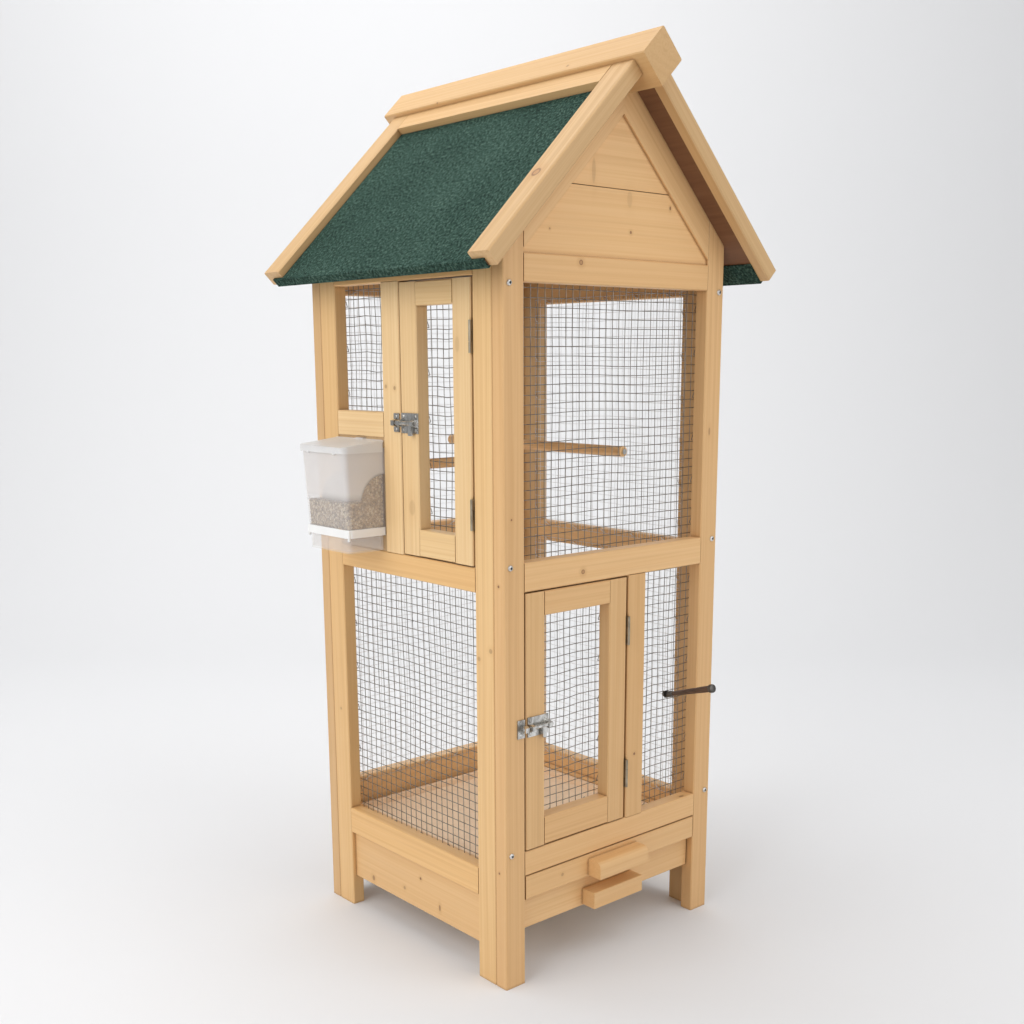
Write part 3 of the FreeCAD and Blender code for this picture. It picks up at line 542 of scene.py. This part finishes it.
@dataclass(frozen=True)
class SeedFinish:
    """Loose millet of mixed colours."""

    husk: Colour = (0.51, 0.375, 0.22)
    pale: Colour = (0.68, 0.56, 0.38)
    dark: Colour = (0.17, 0.105, 0.055)
    fineness: float = 310.0

    def material(self, name: str) -> Material:
        """Make the finish."""
        graph = Graph(name)
        cells = graph.grains(graph.place(), self.fineness)
        pick = graph.add("SeparateColor", {0: cells.outputs["Color"]}).outputs[0]
        colour = graph.ramp(pick, [(0.12, self.dark), (0.35, self.husk), (0.62, self.husk),
                                   (0.9, self.pale)])
        # Painted shade: the gaps between the grains are darkened with the dark seed colour.
        gap = graph.fade(cells.outputs["Distance"], 0.35, 0.75, 0.0, 0.75)
        graph.bump(graph.fade(cells.outputs["Distance"], 0.0, 0.7), 1.2, 0.9)
        return graph.finish(graph.mix(gap, colour, self.dark), 0.6)


@dataclass(frozen=True)
class StickFinish:
    """Round stick with fibres along its length."""

    light: Colour
    dark: Colour
    streak: Place
    roughness: float = 0.55

    def material(self, name: str) -> Material:
        """Make the finish."""
        graph = Graph(name)
        streaks = graph.noise(graph.place(), self.streak, 3.0)
        graph.bump(streaks, 0.2, 0.5)
        colour = graph.ramp(streaks, [(0.3, self.dark), (0.68, self.light)])
        return graph.finish(colour, self.roughness)


def show(name: str, data: bpy.types.ID) -> bpy.types.Object:
    """Make an object of a mesh, lamp or camera and put it into the scene."""
    thing = bpy.data.objects.new(name, data)
    bpy.context.scene.collection.objects.link(thing)
    return thing


class Shape:
    """Mesh that grows from simple runs of points."""

    def __init__(self) -> None:
        """Start with no points."""
        self.points: list[np.ndarray] = []
        self.faces: list[tuple[int, ...]] = []
        self.count = 0

    def put(self, points: np.ndarray, faces: Sequence[Sequence[int]]) -> None:
        """Add points in metres and the faces that join them."""
        start = self.count
        self.points.append(np.asarray(points, float).reshape(-1, 3))
        self.count += len(self.points[-1])
        self.faces.extend(tuple(start + int(i) for i in face) for face in faces)

    def rings(self, rows: np.ndarray) -> None:
        """Skin a row of equal closed rings and close both ends.

        Args:
            rows: Array of rings by points by three.
        """
        count, sides = rows.shape[:2]
        faces = []
        for row in range(count - 1):
            for side in range(sides):
                after = (side + 1) % sides
                faces.append((row * sides + side, row * sides + after,
                              (row + 1) * sides + after, (row + 1) * sides + side))
        faces += [tuple(range(sides))[::-1],
                  tuple((count - 1) * sides + side for side in range(sides))]
        self.put(rows, faces)

    def turned(self, profile: Profile, base: Vector, axis: Vector, sides: int,
               shape: Callable[[float, float], float] | None = None) -> None:
        """Turn a profile about an axis.

        Args:
            profile: Radius and height pairs in millimetres, from the base up.
            base: Foot of the axis in metres.
            axis: Direction of the axis.
            sides: Points round the axis.
            shape: Change of a radius by its turn and height.
        """
        up = axis.normalized()
        across = up.orthogonal().normalized()
        beside = up.cross(across)
        rows = []
        for radius, height in profile:
            row = []
            for k in range(sides):
                turn = 2 * math.pi * k / sides
                reach = radius if shape is None else radius * shape(turn, height)
                out = across * math.cos(turn) + beside * math.sin(turn)
                row.append(base + out * reach * MM + up * height * MM)
            rows.append(row)
        self.rings(np.array(rows))

    def bar(self, start: Vector, end: Vector, radius: float, sides: int) -> None:
        """Add a straight round bar with a radius in millimetres."""
        length = (end - start).length / MM
        self.turned([(radius, 0.0), (radius, length)], start, end - start, sides)

    def piece(self, name: str, material: Material, body: str, slot: str) -> bpy.types.Object:
        """Make the object and let it ride on a body.

        Args:
            name: Name of the object.
            material: Finish of the object.
            body: Body that it moves with.
            slot: Material slot of the record; not used.

        Returns:
            The new object.
        """
        mesh = bpy.data.meshes.new(name)
        mesh.from_pydata(np.vstack(self.points).tolist(), [], self.faces)
        mesh.validate()
        mesh.materials.append(material)
        piece = show(name, mesh)
        mesh.shade_smooth()
        mesh.set_sharp_from_angle(angle=SHARP_ANGLE)
        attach(piece, body)
        LOG.info("%s: %d faces on %s", name, len(mesh.polygons), body)
        return piece


def dress(material: Material, *nodes: str) -> None:
    """Give nodes a material in place of their own."""
    for node in nodes:
        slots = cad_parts[node].data.materials
        slots.clear()
        slots.append(material)
        LOG.info("%s: %s", node, material.name)


@dataclass
class Timber:
    """Pine boards of the panels, doors, trays and roof.

    The tone factors scale the colour of boards: partly each board's own tone, partly painted light
    and shade that lightens the upper left boards and darkens the roof, right and back boards.
    """

    finish: PineFinish = PineFinish()
    runs: dict[Grain, tuple[str, ...]] = field(default_factory=lambda: {
        Grain.UPRIGHT: ("front_stiles", "left_stiles", "back_stiles", "right_stiles",
                        "front_mullion", "left_door_post", "upper_door_stiles",
                        "lower_door_stiles"),
        Grain.ALONG_X: ("front_rails", "back_rails", "gable_boards_front", "gable_boards_back",
                        "lower_door_rails", "upper_tray_front", "lower_tray_front",
                        "upper_tray_handle", "lower_tray_handle"),
        Grain.ALONG_Y: ("left_rails", "right_rails", "feeder_rail", "upper_door_rails",
                        "ridge_beam", "ridge_trims", "tray_runners"),
        Grain.RAKED: ("verge_boards", "gable_rafters"),
        Grain.ROUND_BASE: ("base_boards",)})
    knots: dict[str, tuple[Knot, ...]] = field(default_factory=lambda: {
        "front_stiles": (
            Knot((-215, -210, 580), 1.7), Knot((-215, -208, 173), 1.5),
            Knot((-202, -222, 669), 1.2),
            Knot((192, -222, 768), 1.8, depth=0.45, stretch=(1, 1, 3))),
        "front_rails": (
            Knot((-78, -222, 1000), 3.2, True), Knot((-70, -222, 585), 3.0, True),
            Knot((156, -216, 199), 2.4, depth=0.7, stretch=(2, 1, 1))),
        "back_rails": (Knot((96, 222, 590), 3.4, True),),
        "verge_boards": (Knot((-179, -245, 1102), 6.5, True), Knot((196, 240, 1085), 5.0, True)),
        "gable_boards_front": (
            Knot((-131, -218, 1040), 1.3, depth=0.6), Knot((20, -218, 1044), 1.9, depth=0.75),
            Knot((99, -218, 1081), 1.5, stretch=(1, 1, 1.6)),
            Knot((-52, -218, 1118), 3.2, depth=0.22, stretch=(1, 1, 4.5)),
            Knot((17, -218, 1087), 4.6, depth=0.14, stretch=(1, 1, 2.2))),
        "gable_boards_back": (Knot((60, 218, 1060), 3.0, True), Knot((-30, 218, 1120), 2.2)),
        "base_boards": (
            Knot((-208, -14, 100), 2.0), Knot((-208, 28, 71), 2.6, depth=0.45),
            Knot((-208, 112, 60), 1.6, depth=0.6, stretch=(1, 2, 2.5)),
            Knot((-208, -61, 68), 1.9, depth=0.7, stretch=(1, 1, 2.4)),
            Knot((208, 60, 80), 3.0), Knot((-90, 215, 95), 2.6)),
        "left_stiles": (
            Knot((-215, -193, 489), 3.2, depth=0.4), Knot((-215, -168, 474), 3.0, depth=0.35),
            Knot((-215, 180, 330), 2.0, depth=0.4)),
        "left_door_post": (
            Knot((-215, 14, 836), 2.6, depth=0.5), Knot((-215, 35, 838), 2.6, depth=0.4)),
        "upper_door_stiles": (
            Knot((-215, -129, 895), 4.4, depth=0.16, stretch=(1, 1, 2.2)),
            Knot((-215, -22, 669), 4.6, depth=0.18, stretch=(1, 1.4, 2.2))),
        "front_mullion": (Knot((40, -222, 296), 1.9),),
        "upper_tray_front": (Knot((-107, -222, 145), 2.4, depth=0.4),),
        "ridge_beam": (
            Knot((-28, -142, 1262), 2.0, depth=0.6), Knot((-36, 136, 1255), 1.8, depth=0.6)),
        "right_stiles": (Knot((215, 182, 760), 3.2, True),),
        "back_stiles": (Knot((-198, 222, 420), 3.0, True),)})
    plain: Colour = (1.0, 1.0, 1.0)
    # Partly painted light and shade: the upper left boards are lightened and the roof, right and
    # back boards darkened to mimic how the light falls; the rest is each board's own tone.
    tones_and_painted_light: dict[str, Colour] = field(default_factory=lambda: {
        "verge_boards": (0.78, 0.79, 0.79), "gable_boards_front": (1.08, 1.08, 1.08),
        "ridge_beam": (0.81, 0.81, 0.79), "ridge_trims": (0.84, 0.84, 0.82),
        "front_rails": (1.02, 1.01, 1.0), "front_stiles": (0.95, 0.93, 0.91),
        "front_mullion": (0.92, 0.90, 0.86), "lower_door_stiles": (0.90, 0.88, 0.84),
        "lower_door_rails": (0.95, 0.92, 0.88), "left_stiles": (1.0, 1.02, 0.99),
        "left_rails": (1.01, 0.98, 0.87), "left_door_post": (1.08, 1.20, 1.34),
        "feeder_rail": (1.10, 1.22, 1.36), "base_boards": (1.01, 1.03, 1.05),
        "upper_door_stiles": (1.03, 1.13, 1.23), "upper_door_rails": (1.04, 1.14, 1.21),
        "right_stiles": (0.80, 0.80, 0.80), "back_stiles": (0.86, 0.86, 0.86)})
    seed_step: float = 0.618

    def build(self) -> None:
        """Dress every board with its own piece of pine."""
        seed = 0.0
        for grain, nodes in self.runs.items():
            for node in nodes:
                seed = (seed + self.seed_step) % 1.0
                knots, tone_and_painted_light = self.knots.get(node, ()), self.tones_and_painted_light.get(node, self.plain)
                dress(self.finish.material("pine_" + node, grain, seed, knots, tone_and_painted_light), node)


@dataclass
class Roof:
    """Plywood decks and the felt on them."""

    # Painted shade: reddish plywood, darkened past its own colour to stand for the shade under the
    # roof.
    deck_with_painted_shade: BoardFinish = BoardFinish((0.215, 0.097, 0.042), (0.148, 0.060, 0.024),
                                    (160.0, 8.0, 160.0))
    felt: FeltFinish = FeltFinish()

    def build(self) -> None:
        """Dress the decks and the felt."""
        dress(self.deck_with_painted_shade.material("roof_ply_painted_shade"), "roof_decks")
        dress(self.felt.material("green_felt"), "roof_felt_left", "roof_felt_right")


@dataclass
class WireMesh:
    """Welded wire mesh of the windows and doors, with the staples that hold it.

    Each of the waves that bend a mesh has a share, waves across, waves up and a phase factor.
    """

    cell: float = 12.7
    wire: float = 0.56
    fine_wire: float = 0.32
    sway: float = 1.8
    bulge: float = 1.6
    phase_start: float = 0.7
    phase_step: float = 0.37
    side_waves: Waves = ((1.0, 5.0, 7.0, 3), (0.5, 23.0, 3.0, 1))
    rise_waves: Waves = ((1.0, 8.0, 3.0, 5), (0.4, 5.0, 19.0, 2))
    deep_waves: Waves = ((0.4, 6.0, 7.0, 1),)
    deep_mean: float = 0.6
    wire_sides: int = 5
    staple_step: float = 66.0
    staple_rise: float = 2.8
    staple_along: float = 4.05
    staple_across: float = 1.8
    staple_inset: float = 4.0
    staple_wire: float = 0.55
    finish: MetalFinish = MetalFinish((0.30, 0.28, 0.25), (0.19, 0.175, 0.15), 0.34)
    # Painted light: the far meshes get a paler copy of the same wire, so that they fade against
    # the lit backdrop.
    far_painted_light_finish: MetalFinish = MetalFinish((0.78, 0.78, 0.78), (0.68, 0.68, 0.68), 0.45)
    fine: tuple[str, ...] = ("back_mesh", "right_mesh")
    panels: dict[str, str] = field(default_factory=lambda: {
        "front_mesh": "cage", "back_mesh": "cage", "left_mesh": "cage", "right_mesh": "cage",
        "upper_door_mesh": "upper_door", "lower_door_mesh": "lower_door"})

    def build(self) -> None:
        """Weave a fine mesh in place of each coarse one."""
        near = self.finish.material("galvanised_wire")
        far = self.far_painted_light_finish.material("far_painted_light_wire")
        for number, (node, body) in enumerate(self.panels.items()):
            metal, wire = (far, self.fine_wire) if node in self.fine else (near, self.wire)
            dress(metal, node)
            shape = Shape()
            for low, high in solids_of(node):
                self.weave(shape, low, high, number, wire)
            piece = shape.piece(node + "_wires", metal, body, "galvanised_wire")
            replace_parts(piece, node)

    def weave(self, shape: Shape, low: Vector, high: Vector, number: int, wire: float) -> None:
        """Lay both runs of wires and the staples of one window.

        Args:
            shape: Mesh to add to.
            low: Lowest corner of the window's mesh.
            high: Highest corner of the window's mesh.
            number: Count that varies the waves from window to window.
            wire: Radius of the wires in millimetres.
        """
        size = high - low
        thin = min(range(2), key=lambda k: size[k])
        wide = 1 - thin
        inward = 1.0 if (low[thin] + high[thin]) / 2 < CENTRE[thin] else -1.0
        outer = low[thin] if inward > 0 else high[thin]
        start = np.array(low)
        span = np.array(size)
        radius = wire * MM
        phase = self.phase_start + self.phase_step * number

        def drift(across: np.ndarray, up: np.ndarray) -> tuple[np.ndarray, np.ndarray, np.ndarray]:
            """Sideways, upward and inward wander at shares of the window's width and height."""
            calm = np.sin(math.pi * across) * np.sin(math.pi * up)
            side, rise, deep = [
                sum(share * np.sin(wide_pace * across + high_pace * up + phase * factor)
                    for share, wide_pace, high_pace, factor in waves)
                for waves in (self.side_waves, self.rise_waves, self.deep_waves)]
            sway = self.sway * MM * calm
            return sway * side, sway * rise, self.bulge * MM * calm * (self.deep_mean + deep)

        for standing in (True, False):
            line = wide if standing else 2
            other = 2 if standing else wide
            wires = max(2, round(span[line] / (self.cell * MM)))
            steps = max(4, round(span[other] / (self.cell * MM) / 2))
            depth = radius if standing else radius * 3
            for index in range(wires + 1):
                share = np.full(steps + 1, index / wires)
                reach = np.linspace(0.0, 1.0, steps + 1)
                across, up = (share, reach) if standing else (reach, share)
                side, rise, deep = drift(across, up)
                middle = np.zeros((steps + 1, 3))
                middle[:, wide] = start[wide] + across * span[wide] + side
                middle[:, 2] = start[2] + up * span[2] + rise
                middle[:, thin] = outer + inward * (depth + deep)
                ring = np.zeros((self.wire_sides, 3))
                turns = np.arange(self.wire_sides) * 2 * math.pi / self.wire_sides
                ring[:, line] = np.cos(turns) * radius
                ring[:, thin] = np.sin(turns) * radius
                shape.rings(middle[:, None, :] + ring[None, :, :])
        self.staple(shape, start, span, thin, outer, inward)

    def staple(self, shape: Shape, start: np.ndarray, span: np.ndarray, thin: int,
               outer: float, inward: float) -> None:
        """Set staples over the outermost wires of one window.

        Args:
            shape: Mesh to add to.
            start: Lowest corner of the window's mesh.
            span: Size of the window's mesh.
            thin: Axis square to the mesh.
            outer: Place of the mesh's outer face on that axis.
            inward: Sign of the way into the cage on that axis.
        """
        wide = 1 - thin
        top = outer + inward * self.staple_rise * MM
        inset = self.staple_inset * MM
        for line, other in ((wide, 2), (2, wide)):
            count = max(2, round(span[line] / (self.staple_step * MM)))
            for index in range(count):
                for edge in (inset, span[other] - inset):
                    middle = np.zeros(3)
                    middle[line] = start[line] + span[line] * (index + 0.5) / count
                    middle[other] = start[other] + edge
                    middle[thin] = top
                    ends = []
                    for sign in (-1, 1):
                        end = middle.copy()
                        end[other] += sign * self.staple_across * MM
                        end[line] += sign * self.staple_along * MM
                        foot = end.copy()
                        foot[thin] = outer
                        shape.bar(Vector(foot), Vector(end), self.staple_wire, self.wire_sides)
                        ends.append(Vector(end))
                    shape.bar(ends[0], ends[1], self.staple_wire, self.wire_sides)


@dataclass
class Hardware:
    """Steel hinges, zinc barrel bolts and corner bolts, and the screws in the plates."""

    # Painted reflection: the zinc's dark smear colour is deep, to stand for dark reflections
    # beside its highlights.
    zinc: MetalFinish = MetalFinish((0.74, 0.735, 0.71), (0.27, 0.26, 0.24), 0.20)
    steel: MetalFinish = MetalFinish((0.43, 0.375, 0.285), (0.28, 0.24, 0.18), 0.36)
    plating: MetalFinish = MetalFinish((0.80, 0.79, 0.765), (0.60, 0.59, 0.565), 0.34)
    screw_radius: float = 2.8
    screw_height: float = 1.3
    screw_inset: float = 4.6
    screw_dome: Profile = ((1.0, 0.0), (0.98, 0.45), (0.8, 0.85), (0.52, 1.0))
    screw_slot: Profile = ((0.5, 0.96), (0.3, 0.3), (0.05, 0.2))
    slot_top: float = 0.97
    slot_arm: float = 0.55
    slot_waist: float = 0.45
    plate: float = 1.5
    head: Profile = ((4.1, 0.0), (4.1, 0.7), (3.7, 1.5), (2.9, 2.2), (1.9, 2.5))
    socket: Profile = ((1.9, 2.5), (1.8, 1.7), (0.1, 1.6))

    def build(self) -> None:
        """Dress the plated nodes, set the screws and replace the plain bolt heads."""
        metal = self.zinc.material("bright_zinc")
        dress(metal, "upper_bolt_plate", "lower_bolt_plate", "upper_bolt_rod", "lower_bolt_rod",
              "bolt_keepers", "perch_screws", "frame_bolts")
        dress(self.steel.material("dull_steel"), "hinge_frame_leaves", "upper_door_hinge_leaves",
              "lower_door_hinge_leaves")
        self.corner_bolts(self.plating.material("pale_zinc"))
        for name, body, thin in (("upper", "upper_door", 0), ("lower", "lower_door", 1)):
            shape = Shape()
            self.plate_screws(shape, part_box(name + "_bolt_plate"), thin, (-1, 1))
            shape.piece(name + "_bolt_screws", metal, body, "zinc")
        shape = Shape()
        for box in solids_of("bolt_keepers"):
            thin = 0 if box[0].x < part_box("left_stiles")[0].x - MM else 1
            self.plate_screws(shape, box, thin, (0,))
        shape.piece("keeper_screws", metal, "cage", "zinc")

    def corner_bolts(self, metal: Material) -> None:
        """Turn domed socket heads on washers in place of the plain heads."""
        shape = Shape()
        for low, high in solids_of("frame_bolts"):
            middle = (low + high) / 2
            front = middle.y < CENTRE.y
            axis = Vector((0, -1 if front else 1, 0))
            base = Vector((middle.x, high.y if front else low.y, middle.z))
            shape.turned(self.head, base, axis, MIDDLE_ROUND)
            shape.turned(self.socket, base, axis, HEXAGON)
        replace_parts(shape.piece("corner_bolts", metal, "cage", "zinc"), "frame_bolts")

    def plate_screws(self, shape: Shape, box: Box, thin: int, sides: Sequence[int]) -> None:
        """Set pan-head screws near the top and bottom of a plate.

        Args:
            shape: Mesh to add to.
            box: Corners of the plate with what stands on it.
            thin: Axis square to the plate.
            sides: Places along the plate, as shares of its half length.
        """
        low, high = box
        wide = 1 - thin
        axis = Vector((0, 0, 0))
        axis[thin] = -1.0
        for side in sides:
            for up in (-1, 1):
                place = (low + high) / 2
                place[thin] = high[thin] - self.plate * MM
                place[wide] += side * ((high[wide] - low[wide]) / 2 - self.screw_inset * MM)
                place.z += up * ((high.z - low.z) / 2 - self.screw_inset * MM)
                self.screw(shape, place, axis)

    def screw(self, shape: Shape, base: Vector, axis: Vector) -> None:
        """Add one pan-head screw with a crossed slot."""
        rise = self.screw_height
        reach = self.screw_radius

        def crossed(turn: float, height: float) -> float:
            """Draw the rim of the slot in towards the middle between its arms."""
            on_arm = abs(math.cos(2 * turn)) > self.slot_arm
            return 1.0 if height > rise * self.slot_top or on_arm else self.slot_waist

        dome, slot = [[(reach * wide, rise * high) for wide, high in profile]
                      for profile in (self.screw_dome, self.screw_slot)]
        shape.turned(dome, base, axis, SMALL_ROUND)
        shape.turned(slot, base, axis, SMALL_ROUND, crossed)


@dataclass
class Trays:
    """Hardboard pans of the two pull-out trays."""

    # Painted light: the pans are paler than hardboard, to stand for the light that falls on the
    # tray floors.
    pan_with_painted_light: BoardFinish = BoardFinish((0.95, 0.74, 0.53), (0.86, 0.645, 0.445), (90.0, 90.0, 90.0))

    def build(self) -> None:
        """Dress the pans."""
        dress(self.pan_with_painted_light.material("tray_board_painted_light"), "upper_tray_pan", "lower_tray_pan")


@dataclass
class Feeder:
    """See-through seed feeder and the board behind it.

    The place of clips and snaps is millimetres in from the face and the sides, and down.
    """

    clear: PlasticFinish = PlasticFinish((0.96, 0.93, 0.91), (0.94, 0.905, 0.885), 0.20, 0.28)
    lid: PlasticFinish = PlasticFinish((0.92, 0.915, 0.91), (0.88, 0.875, 0.87), 0.62, 0.30)
    white: PlasticFinish = PlasticFinish((0.92, 0.915, 0.90), (0.88, 0.875, 0.86), 1.0, 0.35)
    seed: SeedFinish = SeedFinish()
    board: BoardFinish = BoardFinish((0.62, 0.42, 0.23), (0.52, 0.33, 0.16), (200.0, 200.0, 9.0))
    heap_radius: float = 38.0
    clip: Profile = ((1.5, 0.0), (2.1, 0.8), (2.1, 15.0), (1.4, 16.0))
    clip_place: Place = (2.9, 2.9, 4.5)
    snap: Profile = ((0.4, 0.0), (2.2, 0.6), (2.8, 2.2), (2.8, 5.0))
    snap_place: Place = (3.0, 25.0, 2.4)

    def build(self) -> None:
        """Dress the feeder and add its clips."""
        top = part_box("feeder_seed")[1] - CENTRE
        heap = Heap(top.x, top.z - self.heap_radius * MM, self.heap_radius * MM)
        dress(self.clear.material("frosted_plastic", heap), "feeder_hopper", "feeder_cup")
        dress(self.lid.material("lid_plastic"), "feeder_lid")
        white = self.white.material("white_plastic")
        dress(white, "feeder_band")
        dress(self.seed.material("millet"), "feeder_seed")
        dress(self.board.material("feeder_ply"), "feeder_board")
        self.clips(white)

    def clips(self, white: Material) -> None:
        """Add the band's corner clips and the snaps under the lid's rim."""
        for name, body, (low, high), profile, (inset, side, drop) in (
                ("band_clips", "cage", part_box("feeder_band"), self.clip, self.clip_place),
                ("lid_snaps", "feeder_lid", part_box("feeder_lid"), self.snap, self.snap_place)):
            shape = Shape()
            for y in (low.y + side * MM, high.y - side * MM):
                base = Vector((low.x + inset * MM, y, low.z - drop * MM))
                shape.turned(profile, base, Vector((0, 0, 1)), SMALL_ROUND)
            shape.piece(name, white, body, "white_plastic")


@dataclass
class Perches:
    """Perches inside the cage and the dark one outside the front."""

    light: tuple[Colour, Colour] = ((0.86, 0.55, 0.27), (0.66, 0.39, 0.17))
    along_x: Place = (12.0, 260.0, 260.0)
    along_y: Place = (260.0, 12.0, 260.0)
    dark: StickFinish = StickFinish((0.135, 0.080, 0.052), (0.060, 0.033, 0.022),
                                    (340.0, 22.0, 340.0), 0.42)
    caps: MetalFinish = MetalFinish((0.17, 0.16, 0.15), (0.09, 0.085, 0.08), 0.42)
    carving: float = 0.035
    carve_rows: int = 15
    lobes: int = 3
    lobe_twist: float = 0.03
    ripple_pace: float = 0.21
    neck_cap: Profile = ((4.3, 0.0), (4.8, 0.6), (4.8, 10.4), (4.2, 11.6), (3.4, 12.0))
    tip_cap: Profile = ((5.6, 0.0), (6.2, 0.5), (6.5, 1.4), (6.5, 5.4), (6.1, 6.5), (4.6, 7.0))
    nut: Profile = ((4.2, 0.0), (4.9, 0.5), (4.9, 5.0))
    washer: Profile = ((6.0, 5.0), (6.0, 6.2))
    stud: Profile = ((2.0, 6.2), (2.0, 9.0))

    def build(self) -> None:
        """Dress the inside perches and carve the outside one."""
        dress(StickFinish(*self.light, self.along_x).material("perch_wood_x"), "perch_low")
        dress(StickFinish(*self.light, self.along_y).material("perch_wood_y"), "perch_high")
        self.outside()

    def outside(self) -> None:
        """Carve the outside perch and turn its caps, washer and nut."""
        points = np.array([vertex.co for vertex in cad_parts["outside_perch"].data.vertices])
        split = points[:, 1].mean()
        neck_ring, tip_ring = points[points[:, 1] > split], points[points[:, 1] <= split]
        neck, tip = Vector(neck_ring.mean(axis=0)), Vector(tip_ring.mean(axis=0))
        thin = np.linalg.norm(neck_ring - np.array(neck), axis=1).max() / MM
        thick = np.linalg.norm(tip_ring - np.array(tip), axis=1).max() / MM
        axis = (tip - neck).normalized()
        length = (tip - neck).length / MM
        wood = self.dark.material("dark_stick")
        dress(wood, "outside_perch")
        profile = [(thin + (thick - thin) * t, length * t)
                   for t in np.linspace(0.0, 1.0, self.carve_rows)]
        shape = Shape()
        shape.turned(profile, neck, axis, LARGE_ROUND, self.carve)
        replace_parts(shape.piece("carved_perch", wood, "cage", "dark_wood"), "outside_perch")
        metal = self.caps.material("dark_metal")
        dress(metal, "outside_perch_fittings")
        shape = Shape()
        neck_foot = neck - axis * self.neck_cap[-1][1] * MM
        shape.turned(self.neck_cap, neck_foot, axis, LARGE_ROUND)
        shape.turned(self.tip_cap, tip, axis, LARGE_ROUND)
        low, high = max(solids_of("outside_perch_fittings"), key=lambda box: box[1].y)
        back = Vector(((low.x + high.x) / 2, high.y, (low.z + high.z) / 2))
        outward = Vector((0, -1, 0))
        for profile, sides in ((self.nut, HEXAGON), (self.washer, LARGE_ROUND),
                               (self.stud, SMALL_ROUND)):
            shape.turned(profile, back, outward, sides)
        caps = shape.piece("perch_caps", metal, "cage", "dark_metal")
        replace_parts(caps, "outside_perch_fittings")

    def carve(self, turn: float, height: float) -> float:
        """Draw the stick's radius in a little by its turn and its height in millimetres."""
        lobe = math.sin(self.lobes * turn + height * self.lobe_twist)
        ripple = math.sin(height * self.ripple_pace + turn)
        return 1 - self.carving * (1 + lobe * ripple)


@dataclass(frozen=True)
class Lamp:
    """Square soft lamp.

    Attributes:
        name: Name of the lamp.
        place: Where it hangs, in millimetres.
        target: Where it points, in millimetres.
        size: Side of the lamp in metres.
        power: Power in watts.
    """

    name: str
    place: Place
    target: Place
    size: float
    power: float

    def hang(self) -> None:
        """Hang the lamp."""
        data = bpy.data.lights.new(self.name, "AREA")
        data.shape = "SQUARE"
        data.size = self.size
        data.energy = self.power
        lamp = show(self.name, data)
        lamp.location = spot(*self.place)
        aim = spot(*self.target) - lamp.location
        lamp.rotation_euler = aim.to_track_quat("-Z", "Y").to_euler()


@dataclass
class Studio:
    """Pale sweep, soft lamps and the camera."""

    camera_place: Place = (-1264.9, -1441.8, 876.1)
    camera_right: Place = (0.75329, -0.65768, -0.00426)
    camera_up: Place = (0.13948, 0.15342, 0.97827)
    lens: float = 43.59
    rise: float = 0.1068
    sensor: float = 36.0
    far_limit: float = 50.0
    paper: Colour = (0.79, 0.793, 0.804)
    away: Place = (0.657, 0.754, 0.0)
    near_edge: float = -5.0
    bend_start: float = 1.7
    bend: float = 1.6
    bend_first: float = 0.1
    bend_steps: int = 16
    wall: float = 6.5
    half_width: float = 16.0
    air_light: float = 0.40
    lamps: tuple[Lamp, ...] = (
        Lamp("key", (-2900, 0, 2050), (0, 0, 700), 3.2, 61.5),
        Lamp("fill", (900, -3100, 1900), (0, 0, 600), 2.8, 31.0),
        Lamp("front", (400, -1700, 3200), (400, -1100, 0), 1.6, 14.0),
        Lamp("top", (-200, 300, 3600), (0, 0, 0), 3.0, 11.0),
        Lamp("backdrop", (-100, 800, 3500), (1700, 2900, 1200), 2.4, 58.0))

    def build(self) -> None:
        """Set up the whole studio."""
        self.sweep()
        for lamp in self.lamps:
            lamp.hang()
        self.air()
        self.camera()

    def sweep(self) -> None:
        """Lay the floor and bend it up behind the cage."""
        away = Vector(self.away).normalized()
        side = Vector((away.y, -away.x, 0.0))
        start, bend = self.bend_start, self.bend
        profile = [(self.near_edge, 0.0), (start, 0.0)]
        profile += [(start + bend * math.sin(a), bend - bend * math.cos(a))
                    for a in np.linspace(self.bend_first, math.pi / 2, self.bend_steps)]
        profile.append((start + bend, self.wall))
        points = [CENTRE + away * run + side * wide + Vector((0, 0, up))
                  for run, up in profile for wide in (-self.half_width, self.half_width)]
        faces = [(2 * k, 2 * k + 1, 2 * k + 3, 2 * k + 2) for k in range(len(profile) - 1)]
        mesh = bpy.data.meshes.new("paper_sweep")
        mesh.from_pydata([tuple(p) for p in points], [], faces)
        mesh.shade_smooth()
        sweep = show("paper_sweep", mesh)
        graph = Graph("pale_paper")
        mesh.materials.append(graph.finish(self.paper, 0.95, Specular_IOR_Level=0.1))

    def air(self) -> None:
        """Fill the room with even light."""
        world = bpy.data.worlds.new("studio_air")
        world.use_nodes = True
        back = world.node_tree.nodes["Background"]
        back.inputs["Color"].default_value = (1.0, 1.0, 1.0, 1.0)
        back.inputs["Strength"].default_value = self.air_light
        bpy.context.scene.world = world

    def camera(self) -> None:
        """Put the camera where the picture was taken."""
        data = bpy.data.cameras.new("camera")
        data.sensor_fit = "HORIZONTAL"
        data.sensor_width = self.sensor
        data.lens = self.lens
        data.shift_y = self.rise
        data.clip_end = self.far_limit
        camera = show("camera", data)
        right = Vector(self.camera_right).normalized()
        up = Vector(self.camera_up).normalized()
        turn = Matrix((right, up, right.cross(up))).transposed()
        camera.matrix_world = Matrix.Translation(spot(*self.camera_place)) @ turn.to_4x4()
        bpy.context.scene.camera = camera


def main() -> None:
    """Build every sub-assembly in order."""
    logging.basicConfig(level=logging.INFO, format="%(name)s: %(message)s")
    bpy.context.scene.view_settings.view_transform = "Standard"
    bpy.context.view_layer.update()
    for assembly in (Timber(), Roof(), WireMesh(), Hardware(), Trays(), Feeder(), Perches(),
                     Studio()):
        LOG.info("building %s", type(assembly).__name__)
        assembly.build()


if __name__ == "__main__":
    main()
